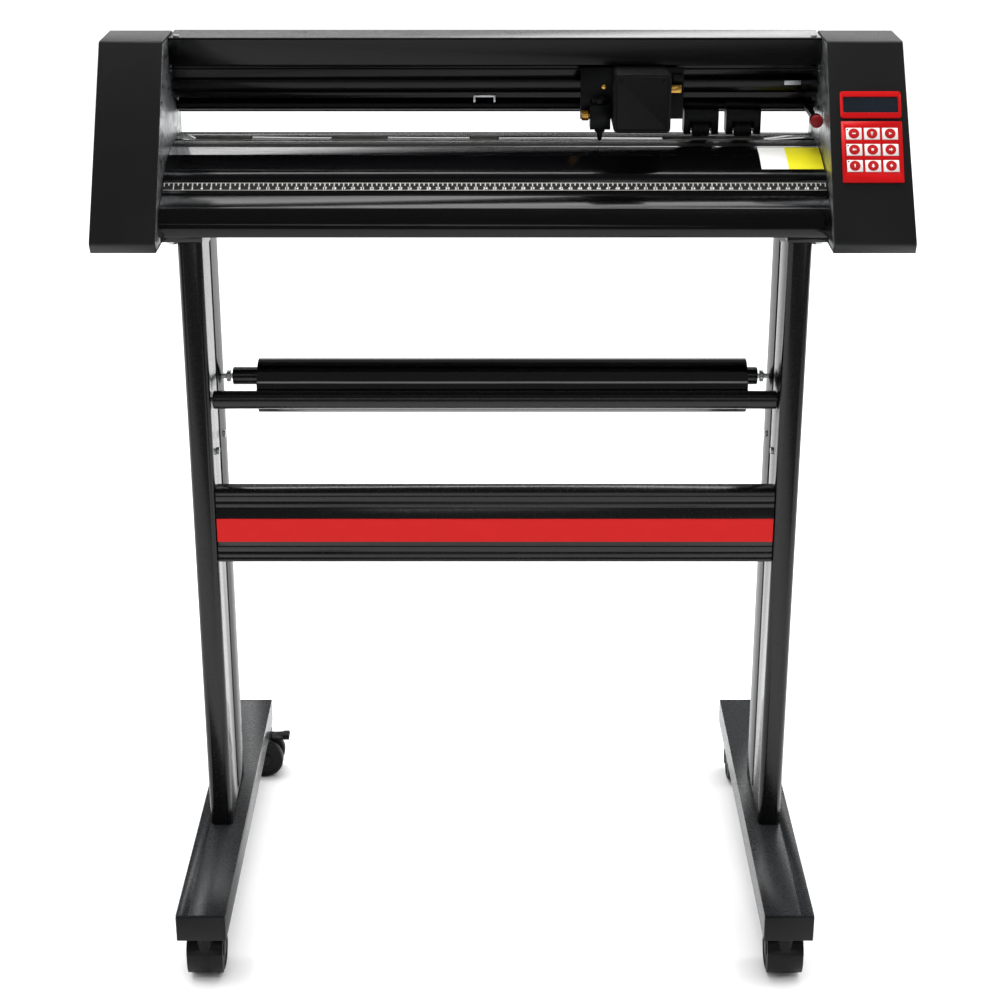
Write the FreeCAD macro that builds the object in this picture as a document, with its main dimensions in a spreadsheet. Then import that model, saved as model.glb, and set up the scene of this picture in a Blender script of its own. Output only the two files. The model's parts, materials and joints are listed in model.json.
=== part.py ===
import FreeCAD, Part
import os
import re
import Sketcher

# Vinyl cutter on a castored stand.  X runs along the machine, +Y to its back, +Z up.
# The origin is on the floor, below the middle of the overall box.

SIZES = {
    # cutter head
    "inner_width": 705, "left_cap_width": 69, "right_cap_width": 86,
    "left_cap_taper": 1, "right_cap_taper": 5.5,
    "head_level": 788, "head_height": 198, "head_front": 90, "head_back": 140,
    "face_run": 130, "lip_height": 11, "lip_run": 6, "back_chamfer": 30,
    "cap_wall": 3, "cap_round": 5, "plate_thick": 2, "plate_gap": 0.3,
    # bed
    "sheet_thick": 3, "pan_rise": 12, "platen_height": 82, "platen_back": 130, "platen_edge": 54,
    "slot_half": 10, "strip_front": 57, "strip_width": 14, "strip_thick": 1, "ridge_depth": 0.6,
    "media_gap": 24, "cover_gap": 0.3,
    # upper beam
    "beam_front": 73, "beam_back": 128, "beam_top_drop": 2, "beam_lip": 29, "beam_wall": 3,
    "track_front": 92, "track_depth": 30, "track_height": 34, "track_drop": 34,
    "guide_depth": 8, "guide_height": 14, "guide_drop": 54,
    # feed shaft, pinch rollers
    "grit_radius": 11, "grit_line": 100, "grit_stand": 1.5, "shaft_radius": 6,
    "gear_radius": 14, "pinion_radius": 8, "running_gap": 0.05,
    "pinch_radius": 8, "pinch_width": 22, "pinch_body": 38, "pinch_gap": 0.3,
    "bar_radius": 5, "bar_line": 116, "bar_rise": 33, "pinch_one": 227, "pinch_two": 273.5,
    # carriage
    "carriage_place": 157, "carriage_width": 61, "carriage_front": 20, "carriage_depth": 55,
    "carriage_rise": 22, "carriage_drop": 30, "carriage_wall": 2.5, "tool_place": 114,
    "tool_radius": 5.7, "tool_line": 64, "tool_rise": 3, "belt_drop": 26,
    # keypad
    "keypad_width": 64, "keypad_height": 68, "keypad_low": 68, "display_height": 30, "display_low": 140,
    "panel_thick": 2.2, "key_width": 16.5, "key_height": 13, "key_pitch": 19, "key_rise": 18,
    "key_gap": 0.2, "key_travel": 1, "key_stand": 0.6, "panel_place": 43,
    # stand
    "rail_length": 515, "rail_width": 54, "rail_height": 31, "rail_wall": 2, "post_inset": 31.5,
    "castor_rise": 11, "post_width": 26, "post_depth": 126, "post_wall": 2.5, "groove_width": 12,
    "groove_depth": 4, "mount_thick": 6, "mount_width": 44,
    "stretcher_height": 84, "stretcher_depth": 24, "stretcher_middle": 470, "stretcher_wall": 2,
    # media rollers
    "roller_radius": 10, "roller_spacing": 82.4, "roller_level": 612, "roller_wall": 1.5,
    "pivot_radius": 3, "rear_roller_inset": 13, "front_roller_inset": 1,
    "roll_radius": 31, "roll_length": 540, "roll_shift": 8, "roll_gap": 0.3, "core_radius": 20,
    # castors
    "wheel_radius": 25, "wheel_width": 13, "wheel_inner": 6.5, "castor_trail": 18, "castor_inset": 24,
    "axle_radius": 3, "hood_wall": 2.8, "hood_gap": 1.2,
    "stem_radius": 5, "stem_length": 27,
}

doc = FreeCAD.newDocument("vinyl_cutter")
sheet = doc.addObject("Spreadsheet::Sheet", "Sizes")
for row, (alias, number) in enumerate(SIZES.items(), start=1):
    sheet.set(f"A{row}", alias)
    sheet.set(f"B{row}", str(number))
    sheet.setAlias(f"B{row}", alias)
doc.recompute()

NODES = {}

# Formulas that several pieces share.
MIDDLE = "(left_cap_width - right_cap_width) / 2"
TOP = "(head_level + head_height)"
RISE = "(head_height - lip_height)"
PAN = "(head_level + pan_rise)"
PLATEN = "(head_level + platen_height)"
BEAM_TOP = f"({TOP} - beam_top_drop)"
BEAM_LOW = f"({PLATEN} + media_gap)"
RAIL_TOP = "(castor_height + rail_height)"
GRIT = f"({PLATEN} + grit_stand - grit_radius)"
PINCH = f"({PLATEN} + grit_stand + pinch_gap + pinch_radius)"
BAR = f"({PLATEN} + bar_rise)"
FACE_TILT = f"atan({RISE} / face_run)"


# Spans that follow from the sizes.
SPANS = {
    "rail_spacing": "(inner_width - 2 * post_inset)",
    "castor_height": "(2 * wheel_radius + castor_rise)",
    "hood_radius": "(wheel_radius + hood_gap + hood_wall)",
    "slider_height": f"({BEAM_TOP} - carriage_drop - {PLATEN} - carriage_rise - 6)",
    "cover_height": f"({BEAM_TOP} - carriage_drop - {PLATEN} - carriage_rise)",
}


def formula(text):
    """Write out every span in a formula and point every size name at its spreadsheet cell."""
    whole = re.sub(r"[a-z]\w+", lambda word: SPANS.get(word[0], word[0]), str(text))
    return re.sub(r"[a-z]\w+", lambda word: "Sizes." + word[0] if word[0] in SIZES else word[0], whole)


def number(text):
    """The value of a formula now."""
    return float(sheet.evalExpression(formula(text)))


def place(thing, x, y, z):
    """Bind where a thing stands; x is measured from the middle of the machine."""
    thing.setExpression(".Placement.Base.x", formula(f"{x} + {MIDDLE}"))
    thing.setExpression(".Placement.Base.y", formula(y))
    thing.setExpression(".Placement.Base.z", formula(z))
    return thing


def node(thing, name):
    """Keep a finished sub-part under the name that its file gets."""
    thing.Label = name
    NODES[name] = thing
    return thing


def block(name, x, wide, y, deep, z, tall):
    """A box from its low corner and its three lengths."""
    box = doc.addObject("Part::Box", name)
    box.setExpression("Length", formula(wide))
    box.setExpression("Width", formula(deep))
    box.setExpression("Height", formula(tall))
    return place(box, x, y, z)


AIMS = {
    "X": FreeCAD.Rotation(FreeCAD.Vector(0, 1, 0), 90),
    "Y": FreeCAD.Rotation(FreeCAD.Vector(1, 0, 0), -90),
    "Z": FreeCAD.Rotation(),
}


def rod(name, aim, radius, long, x, y, z):
    """A cylinder that starts at a point and runs along +X, +Y or +Z."""
    cylinder = doc.addObject("Part::Cylinder", name)
    cylinder.setExpression("Radius", formula(radius))
    cylinder.setExpression("Height", formula(long))
    cylinder.Placement = FreeCAD.Placement(FreeCAD.Vector(), AIMS[aim])
    return place(cylinder, x, y, z)


def fuse(name, *shapes):
    joined = doc.addObject("Part::MultiFuse", name)
    joined.Shapes = list(shapes)
    return joined


def cut(name, base, *tools):
    rest = base
    for step, tool in enumerate(tools):
        result = doc.addObject("Part::Cut", f"{name}_{step}")
        result.Base = rest
        result.Tool = tool
        rest = result
    return rest


def group(name, *shapes):
    """Separate solids that make one sub-part."""
    bundle = doc.addObject("Part::Compound", name)
    bundle.Links = list(shapes)
    return bundle


def profile(name, plane, corners, long, x="0", y="0", z="0", rounds=()):
    """A padded outline whose corners are bound to the sheet, with its long edges rounded."""
    body = doc.addObject("PartDesign::Body", name)
    sketch = body.newObject("Sketcher::SketchObject", name + "_outline")
    origin_plane = [part for part in body.Origin.OriginFeatures if part.Role == plane + "_Plane"][0]
    sketch.AttachmentSupport = [(origin_plane, "")]
    sketch.MapMode = "FlatFace"
    points = [(number(u), number(v)) for u, v in corners]
    count = len(points)
    for index, point in enumerate(points):
        after = points[(index + 1) % count]
        sketch.addGeometry(Part.LineSegment(FreeCAD.Vector(*point, 0), FreeCAD.Vector(*after, 0)), False)
    for index in range(count):
        sketch.addConstraint(Sketcher.Constraint("Coincident", index, 2, (index + 1) % count, 1))
    for index, (u, v) in enumerate(corners):
        across = sketch.addConstraint(Sketcher.Constraint("DistanceX", -1, 1, index, 1, points[index][0]))
        sketch.setExpression(f"Constraints[{across}]", formula(u))
        upward = sketch.addConstraint(Sketcher.Constraint("DistanceY", -1, 1, index, 1, points[index][1]))
        sketch.setExpression(f"Constraints[{upward}]", formula(v))
    pad = body.newObject("PartDesign::Pad", name + "_pad")
    pad.Profile = sketch
    pad.setExpression("Length", formula(long))
    doc.recompute()
    feature = pad
    for radius, chosen in rounds:
        wanted = [edge_at(feature, plane, points[index]) for index in chosen]
        fillet = body.newObject("PartDesign::Fillet", f"{name}_round_{chosen[0]}")
        fillet.Base = (feature, wanted)
        fillet.setExpression("Radius", formula(radius))
        doc.recompute()
        feature = fillet
    return place(body, x, y, z)


def edge_at(feature, plane, point):
    """The name of the long edge that stands on one corner of an outline."""
    u_axis, v_axis = {"XY": (0, 1), "XZ": (0, 2), "YZ": (1, 2)}[plane]
    for index, edge in enumerate(feature.Shape.Edges, start=1):
        ends = [vertex.Point for vertex in edge.Vertexes]
        if len(ends) == 2 and all(
            abs(end[u_axis] - point[0]) < 1e-4 and abs(end[v_axis] - point[1]) < 1e-4 for end in ends
        ):
            return f"Edge{index}"
    raise ValueError(f"no edge at {point}")


# ---------------------------------------------------------------- stand

def base_rail(side, name):
    """One hollow foot rail of the stand, with a seam groove along its top."""
    middle = f"{side} * rail_spacing / 2"
    tube = block(name + "_tube", f"{middle} - rail_width / 2", "rail_width",
                 "-rail_length / 2", "rail_length", "castor_height", "rail_height")
    hollow = block(name + "_hollow", f"{middle} - rail_width / 2 + rail_wall", "rail_width - 2 * rail_wall",
                   "-rail_length / 2 - 1", "rail_length + 2",
                   "castor_height + rail_wall", "rail_height - 2 * rail_wall")
    seam = block(name + "_seam", f"{middle} + {side} * rail_width / 4 - 0.6", "1.2",
                 "-rail_length / 2 - 1", "rail_length + 2", f"{RAIL_TOP} - 0.6", "1")
    holes = [rod(f"{name}_hole_{end}", "Z", "stem_radius + 0.05", "rail_wall + 2",
                 middle, f"{end} * (rail_length / 2 - castor_inset)", "castor_height - 1") for end in (-1, 1)]
    node(cut(name + "_cut", tube, hollow, seam, *holes), name)


def rail_plugs():
    """Moulded plugs that close both ends of each rail, flush with its outside."""
    plugs = []
    for side in (-1, 1):
        for end in (-1, 1):
            tag = f"plug_{side + 1}_{end + 1}"
            inside = f"{end} * (rail_length / 2 - 7.5) - 7.5"
            plugs.append(block(tag, f"{side} * rail_spacing / 2 - rail_width / 2 + rail_wall",
                               "rail_width - 2 * rail_wall", inside, "15",
                               "castor_height + rail_wall", "rail_height - 2 * rail_wall"))
    node(group("plug_group", *plugs), "rail_end_plugs")


def post(side, name):
    """One upright: a hollow flat section with round noses and a channel down its inner side."""
    low_x = f"({side} * rail_spacing / 2 - post_width / 2)"
    high_x = f"({side} * rail_spacing / 2 + post_width / 2)"
    corners = [(low_x, "-post_depth / 2"), (high_x, "-post_depth / 2"),
               (high_x, "post_depth / 2"), (low_x, "post_depth / 2")]
    tall = f"{PAN} - mount_thick - {RAIL_TOP}"
    outside = profile(name + "_outside", "XY", corners, tall, z=RAIL_TOP,
                      rounds=[("post_width / 4", (0, 1, 2, 3))])
    cavities = []
    for half in (-1, 1):
        deep = "(post_depth / 2 - groove_width / 2 - 2 * post_wall)"
        start = f"{half} * (groove_width / 2 + post_wall + {deep} / 2) - {deep} / 2"
        cavities.append(block(f"{name}_cavity_{half + 1}", f"{low_x} + post_wall",
                              "post_width - 2 * post_wall", start, deep, f"{RAIL_TOP} + 20", f"{tall} - 40"))
    inner_face = f"{side} * (rail_spacing / 2 - post_width / 2 + groove_depth / 2) - groove_depth / 2"
    channel = block(name + "_channel", inner_face, "groove_depth", "-groove_width / 2", "groove_width",
                    f"{RAIL_TOP} + 15", f"{tall} - 30")
    node(cut(name + "_cut", outside, *cavities, channel), name)


def mount_plates():
    """Steel plates on the posts that carry the cutter's pan."""
    plates = []
    for side in (-1, 1):
        start = f"{side} * (inner_width / 2 - 1.5 - mount_width / 2) - mount_width / 2"
        plates.append(block(f"mount_plate_{side + 1}", start, "mount_width",
                            "-post_depth / 2", "post_depth", f"{PAN} - mount_thick", "mount_thick"))
    node(group("mount_plate_group", *plates), "mount_plates")


def stretcher():
    """The broad ribbed panel between the posts."""
    wide = "(rail_spacing - post_width)"
    low = "(stretcher_middle - stretcher_height / 2)"
    front = "-post_depth / 2 + 2"
    outer = block("stretcher_outer", f"-{wide} / 2", wide, front, "stretcher_depth", low, "stretcher_height")
    inner = block("stretcher_inner", f"-{wide} / 2 - 1", f"{wide} + 2", f"{front} + stretcher_wall",
                  "stretcher_depth - 2 * stretcher_wall", f"{low} + stretcher_wall",
                  "stretcher_height - 2 * stretcher_wall")
    flutes = []
    for level in (5, 12, 19, 65, 72, 79):
        flutes.append(block(f"flute_{level}", f"-{wide} / 2 - 1", f"{wide} + 2", f"{front} - 1", "1.8",
                            f"{low} + {level} * stretcher_height / 84 - 0.8", "1.6"))
    node(cut("stretcher_cut", outer, inner, *flutes), "stretcher")


def fasteners():
    """Bolt heads and pivot screws of the stand."""
    items = []
    for side in (-1, 1):
        inner = f"{side} * (rail_spacing - post_width) / 2"
        outer = f"{side} * (rail_spacing + post_width) / 2"
        inward = f"{inner} - {'0' if side < 0 else '3'}"
        outward = f"{outer} - {'3' if side < 0 else '0'}"
        for place_y in (-28, 28):
            items.append(rod(f"inner_bolt_{side + 1}_{place_y + 30}", "X", "4", "3",
                             inward, place_y, "stretcher_middle + 78"))
            items.append(rod(f"outer_bolt_{side + 1}_{place_y + 30}", "X", "4.5", "3",
                             outward, place_y, "stretcher_middle + 92"))
        for end, inset in ((-1, "front_roller_inset"), (1, "rear_roller_inset")):
            reach = f"({inset} + 12)"
            start = f"{inner} - {'0' if side < 0 else reach}"
            pin = rod(f"pivot_{side + 1}_{end + 1}", "X", "pivot_radius", reach, start,
                      f"{end} * roller_spacing / 2", "roller_level")
            if end < 0:
                items.append(pin)
                continue
            nut = rod(f"nut_{side + 1}", "X", "pivot_radius + 4", "4",
                      f"{inner} + {side} * -(rear_roller_inset - 4.6) - 2",
                      f"{end} * roller_spacing / 2", "roller_level")
            items.append(fuse(f"pivot_with_nut_{side + 1}", pin, nut))
    for side in (-1, 1):
        for place_y in (-40, 40):
            items.append(rod(f"mount_screw_{side + 1}_{place_y + 40}", "Z", "6", "7",
                             f"{side} * (rail_spacing / 2 + post_width / 2 + 7.5)",
                             place_y, f"{PAN} - mount_thick - 7"))
    node(group("stand_screw_group", *items), "stand_fasteners")


def media_roller(end, inset, name):
    """A support tube that turns on pivot screws in the posts."""
    long = f"(rail_spacing - post_width - 2 * {inset})"
    spot = (f"-{long} / 2", f"{end} * roller_spacing / 2", "roller_level")
    tube = rod(name + "_tube", "X", "roller_radius", long, *spot)
    hollow = rod(name + "_hollow", "X", "roller_radius - roller_wall", f"{long} - 30",
                 f"-{long} / 2 + 15", *spot[1:])
    bores = [rod(f"{name}_bore_{side + 1}", "X", "pivot_radius + running_gap", "14",
                 f"{side} * ({long} / 2 - 6) - 7", *spot[1:]) for side in (-1, 1)]
    node(cut(name + "_cut", tube, hollow, *bores), name)


def media_roll():
    """The roll of film that lies in the valley between the two support tubes."""
    lift = "sqrt((roll_radius + roller_radius + roll_gap) ^ 2 - (roller_spacing / 2) ^ 2)"
    spot = ("roll_shift - roll_length / 2", "0", f"roller_level + {lift}")
    film = rod("film", "X", "roll_radius", "roll_length", *spot)
    core = rod("core_hole", "X", "core_radius", "roll_length + 2",
               "roll_shift - roll_length / 2 - 1", *spot[1:])
    node(cut("roll_cut", film, core), "media_roll")


# ---------------------------------------------------------------- castors

CASTORS = {
    "front_left": (-1, -1, 90), "front_right": (1, -1, 90),
    "rear_left": (-1, 1, 0), "rear_right": (1, 1, -90),
}


def turned(thing, side, end, heading):
    """Stand a piece, built round its swivel axis, under one end of a rail."""
    thing.Placement = FreeCAD.Placement(FreeCAD.Vector(), FreeCAD.Rotation(FreeCAD.Vector(0, 0, 1), heading))
    return place(thing, f"{side} * rail_spacing / 2", f"{end} * (rail_length / 2 - castor_inset)", "0")


def local(thing, x, y, z):
    """Bind a place that is measured from a castor's swivel axis."""
    for axis, text in zip("xyz", (x, y, z)):
        thing.setExpression(f".Placement.Base.{axis}", formula(text))
    return thing


def castor(tag, side, end, heading):
    """Twin-wheel castor: the hood swivels on the stem and the wheels turn on one axle."""
    def disc(name, radius, wide, y, x="castor_trail", z="wheel_radius"):
        return local(rod(f"{tag}_{name}", "Y", radius, wide, "0", "0", "0"), x, y, z)

    def brick(name, x, wide, y, deep, z, tall):
        return local(block(f"{tag}_{name}", "0", wide, "0", deep, "0", tall), x, y, z)

    half = "(wheel_inner + wheel_width)"
    wheels = [disc("wheel_a", "wheel_radius", "wheel_width", "wheel_inner"),
              disc("wheel_b", "wheel_radius", "wheel_width", f"-{half}"),
              disc("axle", "axle_radius", f"2 * {half}", f"-{half}")]
    node(turned(fuse(f"{tag}_wheel_pair", *wheels), side, end, heading), f"castor_wheels_{tag}")

    web = disc("web", "hood_radius", "2 * wheel_inner - 1", "-wheel_inner + 0.5")
    shell = disc("shell", "hood_radius", f"2 * {half} + 1", f"-{half} - 0.5")
    room_a = disc("room_a", "wheel_radius + hood_gap", "wheel_width + 2", "wheel_inner - 0.5")
    room_b = disc("room_b", "wheel_radius + hood_gap", "wheel_width + 2", f"-{half} - 1.5")
    under = brick("under", "-40", "80 + castor_trail", "-40", "80", "-10", "10 + wheel_radius * 1.3")
    back = brick("back", "castor_trail + 8", "40", "-40", "80", "-10", "90")
    arch = cut(f"{tag}_arch", shell, room_a, room_b, under, back)
    keel_under = brick("keel_under", "-40", "80 + castor_trail", "-10", "20", "-10", "20")
    keel = cut(f"{tag}_keel", web, keel_under,
               brick("keel_back", "castor_trail + 8", "40", "-10", "20", "-10", "90"))
    socket = local(rod(f"{tag}_socket", "Z", "stem_radius + 4", "castor_height - 4.3 - wheel_radius * 1.4",
                       "0", "0", "0"), "0", "0", "wheel_radius * 1.4")
    bore = local(rod(f"{tag}_bore", "Z", "stem_radius + running_gap", "castor_height", "0", "0", "0"),
                 "0", "0", "wheel_radius * 1.5")
    axle_bore = disc("axle_bore", "axle_radius + running_gap", "60", "-30")
    hood = cut(f"{tag}_hood", fuse(f"{tag}_hood_whole", arch, keel, socket), bore, axle_bore, room_a, room_b)
    node(turned(hood, side, end, heading), f"castor_hood_{tag}")
    if end > 0:
        pad = brick("pad", "castor_trail + 9.8", "23", "-9", "18", "2 * wheel_radius - 0.5", "3")
        rib = brick("pad_rib", "castor_trail + 24.5", "8", "-7", "14", "2 * wheel_radius + 2", "3")
        knuckle = disc("brake_knuckle", "1.5", "18", "-9", "castor_trail + 9.8", "2 * wheel_radius + 1")
        node(turned(fuse(f"{tag}_brake", pad, rib, knuckle), side, end, heading), f"castor_brake_{tag}")


def castor_stems():
    """Pressed stems with a collar that stand in the rails."""
    stems = []
    for tag, (side, end, _) in CASTORS.items():
        spot = (f"{side} * rail_spacing / 2", f"{end} * (rail_length / 2 - castor_inset)")
        pin = rod(f"stem_{tag}", "Z", "stem_radius", "stem_length", *spot, "castor_height + 10 - stem_length")
        collar = rod(f"collar_{tag}", "Z", "stem_radius + 9", "4", *spot, "castor_height - 4")
        stems.append(fuse(f"stem_whole_{tag}", pin, collar))
    node(group("stem_group", *stems), "castor_stems")


# ---------------------------------------------------------------- cutter head

def head_outline(inset):
    """The side view of the head, moved inwards by a wall."""
    lean = f"({inset}) * sqrt(face_run ^ 2 + {RISE} ^ 2) / {RISE}"
    return [
        (f"-head_front + lip_run + {inset}", f"head_level + {inset}"),
        (f"-head_front + {lean}", "head_level + lip_height"),
        (f"-head_front + {lean} + face_run * ({RISE} - ({inset})) / {RISE}", f"{TOP} - ({inset})"),
        (f"head_back - back_chamfer - 0.4142 * ({inset})", f"{TOP} - ({inset})"),
        (f"head_back - ({inset})", f"{TOP} - back_chamfer - 0.4142 * ({inset})"),
        (f"head_back - ({inset})", f"head_level + {inset}"),
    ]


def taper_tool(name, side, width, taper, inset):
    """What is taken off the outer side so that it leans inwards towards the top."""
    edge = f"({side} * (inner_width / 2 + {width} - ({inset})))"
    slope = f"({side} * {taper} / head_height)"
    corners = [(f"{edge} + {slope} * 10", "head_level - 10"),
               (f"{edge} - {slope} * (head_height + 10)", f"{TOP} + 10"),
               (f"{edge} + {side} * 40", f"{TOP} + 10"),
               (f"{edge} + {side} * 40", "head_level - 10")]
    return profile(name, "XZ", corners, "head_front + head_back + 20", y="head_back + 10")


def end_cap(side, width, taper, name):
    """One moulded end casing, open towards the machine and closed by the end frame."""
    start = "inner_width / 2" if side > 0 else f"-inner_width / 2 - {width}"
    rounds = [("cap_round", (1, 2, 3, 4))]
    outside = profile(name + "_outside", "YZ", head_outline("0"), width, x=start, rounds=rounds)
    outside = cut(name + "_leaning", outside, taper_tool(name + "_taper", side, width, taper, "0"))
    hollow_start = f"{start} - 1" if side > 0 else f"{start} + cap_wall"
    hollow = profile(name + "_hollow", "YZ", head_outline("cap_wall"), f"{width} - cap_wall + 1",
                     x=hollow_start)
    hollow = cut(name + "_room", hollow, taper_tool(name + "_inner_taper", side, width, taper, "cap_wall"))
    tools = [hollow]
    if side > 0:
        tools.append(block("inlet_window", "inner_width / 2 + 14", "28.4", "head_back - 10", "20",
                           "head_level + 29.8", "20.4"))
        tools.append(block("switch_window", "inner_width / 2 + 50", "14.4", "head_back - 10", "20",
                           "head_level + 29.8", "20.4"))
    node(cut(name + "_cut", outside, *tools), name)


def end_frames():
    """Steel side plates that carry the bed, the beam and the shafts."""
    plates = []
    for side in (-1, 1):
        tag = f"frame_{side + 1}"
        start = "inner_width / 2" if side > 0 else "-inner_width / 2 - plate_thick"
        plate = profile(tag, "YZ", head_outline("cap_wall + plate_gap"), "plate_thick", x=start)
        bush_start = "inner_width / 2" if side > 0 else "-inner_width / 2 - plate_thick - 6"
        bushing = rod(tag + "_bush", "X", "shaft_radius + 5", "plate_thick + 6", bush_start,
                      "grit_line", GRIT)
        through = f"{start} - 20"
        bore = rod(tag + "_bore", "X", "shaft_radius + running_gap", "60", through, "grit_line", GRIT)
        bar_bore = rod(tag + "_bar_bore", "X", "bar_radius + running_gap", "60", through, "bar_line", BAR)
        window = block(tag + "_window", through, "60", "76", "12", f"{BEAM_TOP} - belt_drop - 13", "26")
        plates.append(cut(tag + "_cut", fuse(tag + "_whole", plate, bushing), bore, bar_bore, window))
    node(group("frame_group", *plates), "end_frames")


def bed():
    """Curved platen over a folded lower cover."""
    clear = "(inner_width - 2 * cover_gap)"
    start = "-inner_width / 2 + cover_gap"
    top = [("platen_back", PLATEN), ("platen_edge", PLATEN), ("30", f"{PLATEN} - 4"), ("0", f"{PLATEN} - 13"),
           ("-14", f"{PLATEN} - 19.5")]
    under = [(f"{y} + 1", f"{z} - sheet_thick") for y, z in reversed(top)]
    under[-1] = ("platen_back", f"{PLATEN} - sheet_thick")
    under[-2] = ("platen_edge + 0.2", f"{PLATEN} - sheet_thick")
    plate = profile("platen_plate", "YZ", top + under, clear, x=start, rounds=[("25", (1, 2, 3))])
    slots = []
    for index, (centre, long) in enumerate(GRIT_ROLLERS):
        slots.append(block(f"grit_slot_{index}", f"{centre} - {long} / 2 - 1", f"{long} + 2",
                           "grit_line - slot_half", "2 * slot_half", f"{PLATEN} - 10", "20"))
    groove = block("strip_groove", "-inner_width / 2", "inner_width", "strip_front", "strip_width",
                   f"{PLATEN} - strip_thick", "strip_thick + 1")
    ridges = [block(f"ridge_{offset}", "-inner_width / 2", "inner_width", f"grit_line + {offset}", "1.6",
                    f"{PLATEN} - ridge_depth", "ridge_depth + 1") for offset in (-25, -15, 13, 22)]
    node(cut("platen_cut", plate, groove, *ridges, *slots), "platen")
    strip = block("strip", f"{start} + 0.2", f"{clear} - 0.4", "strip_front + 0.2", "strip_width - 0.4",
                  f"{PLATEN} - strip_thick", "strip_thick - 0.1")
    node(strip, "cutting_strip")

    outer = [("-15", f"{PLATEN} - 20.2"), ("-29", f"{PLATEN} - 31"), ("-31", f"{PLATEN} - 34"),
             ("-34", f"{PLATEN} - 33"), ("-54", f"{PLATEN} - 42"), ("-68", f"{PLATEN} - 56"),
             ("-66", PAN), ("platen_back - 2", PAN), ("platen_back - 2", f"{PLATEN} - sheet_thick - 0.3"),
             ("platen_back - 4", f"{PLATEN} - sheet_thick - 0.3"), ("platen_back - 4", f"{PAN} + 2"),
             ("-62", f"{PAN} + 2"), ("-65", f"{PLATEN} - 56"), ("-52", f"{PLATEN} - 45"),
             ("-33", f"{PLATEN} - 37"), ("-14", f"{PLATEN} - 23")]
    cover = profile("lower_cover_body", "YZ", outer, clear, x=start, rounds=[("14", (4, 5))])
    node(cover, "lower_cover")


GRIT_ROLLERS = ((-300, 60), (-150, 60), (-12, 30), (241, 110))


def feed_shaft():
    """The driven shaft with its knurled rollers, and the gear fixed on its end outside the right plate."""
    start = "-inner_width / 2 - plate_thick - 12"
    shaft = rod("shaft", "X", "shaft_radius", "inner_width + 2 * plate_thick + 32", start, "grit_line", GRIT)
    rollers = [rod(f"grit_{index}", "X", "grit_radius", long, f"{centre} - {long} / 2", "grit_line", GRIT)
               for index, (centre, long) in enumerate(GRIT_ROLLERS)]
    gear_start = "inner_width / 2 + plate_thick + 12"
    gear = rod("feed_gear", "X", "gear_radius", "8", gear_start, "grit_line", GRIT)
    gear_bore = rod("feed_gear_bore", "X", "shaft_radius + running_gap", "10", f"{gear_start} - 1",
                    "grit_line", GRIT)
    whole = fuse("grit_shaft_whole", shaft, *rollers)
    node(group("grit_shaft_group", whole, cut("gear_cut", gear, gear_bore)), "grit_shaft")


def upper_beam():
    """The hood, and below it the track that the carriage runs on."""
    clear = "(inner_width - 2 * cover_gap)"
    start = "-inner_width / 2 + cover_gap"
    hood = [("beam_front", f"{BEAM_TOP} - beam_lip"), ("beam_front", BEAM_TOP), ("beam_back", BEAM_TOP),
            ("beam_back", BEAM_LOW), ("beam_back - beam_wall", BEAM_LOW),
            ("beam_back - beam_wall", f"{BEAM_TOP} - beam_wall"),
            ("beam_front + beam_wall", f"{BEAM_TOP} - beam_wall"),
            ("beam_front + beam_wall", f"{BEAM_TOP} - beam_lip")]
    node(profile("hood", "YZ", hood, clear, x=start, rounds=[("2.5", (1, 2))]), "top_beam")
    track_low = f"({BEAM_TOP} - track_drop - track_height)"
    track = block("track", start, clear, "track_front", "beam_back - beam_wall - track_front - 0.1",
                  track_low, "track_height + track_drop - beam_wall - 0.1")
    guide = block("guide", start, clear, "track_front - guide_depth", "guide_depth + 1",
                  f"{BEAM_TOP} - guide_drop - guide_height / 2", "guide_height")
    room = block("track_room", "-inner_width / 2", "inner_width", "track_front + beam_wall",
                 "beam_back - 3 * beam_wall - track_front - 0.1", f"{track_low} + beam_wall",
                 "track_height + track_drop - 3 * beam_wall - 0.1")
    node(cut("track_cut", fuse("track_whole", track, guide), room), "carriage_track")


def pinch_bar():
    """Lifting shaft with its hand lever at the right end."""
    bar = rod("bar", "X", "bar_radius", "inner_width + 2 * plate_thick + 16",
              "-inner_width / 2 - plate_thick - 8", "bar_line", BAR)
    arm = block("lever_arm", "inner_width / 2 - 11", "6", "bar_line - 80", "80", f"{BAR} - 3", "6")
    knob = rod("lever_knob", "Y", "7", "14", "inner_width / 2 - 8", "bar_line - 92", BAR)
    node(fuse("pinch_bar_whole", bar, arm, knob), "pinch_bar")


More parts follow.
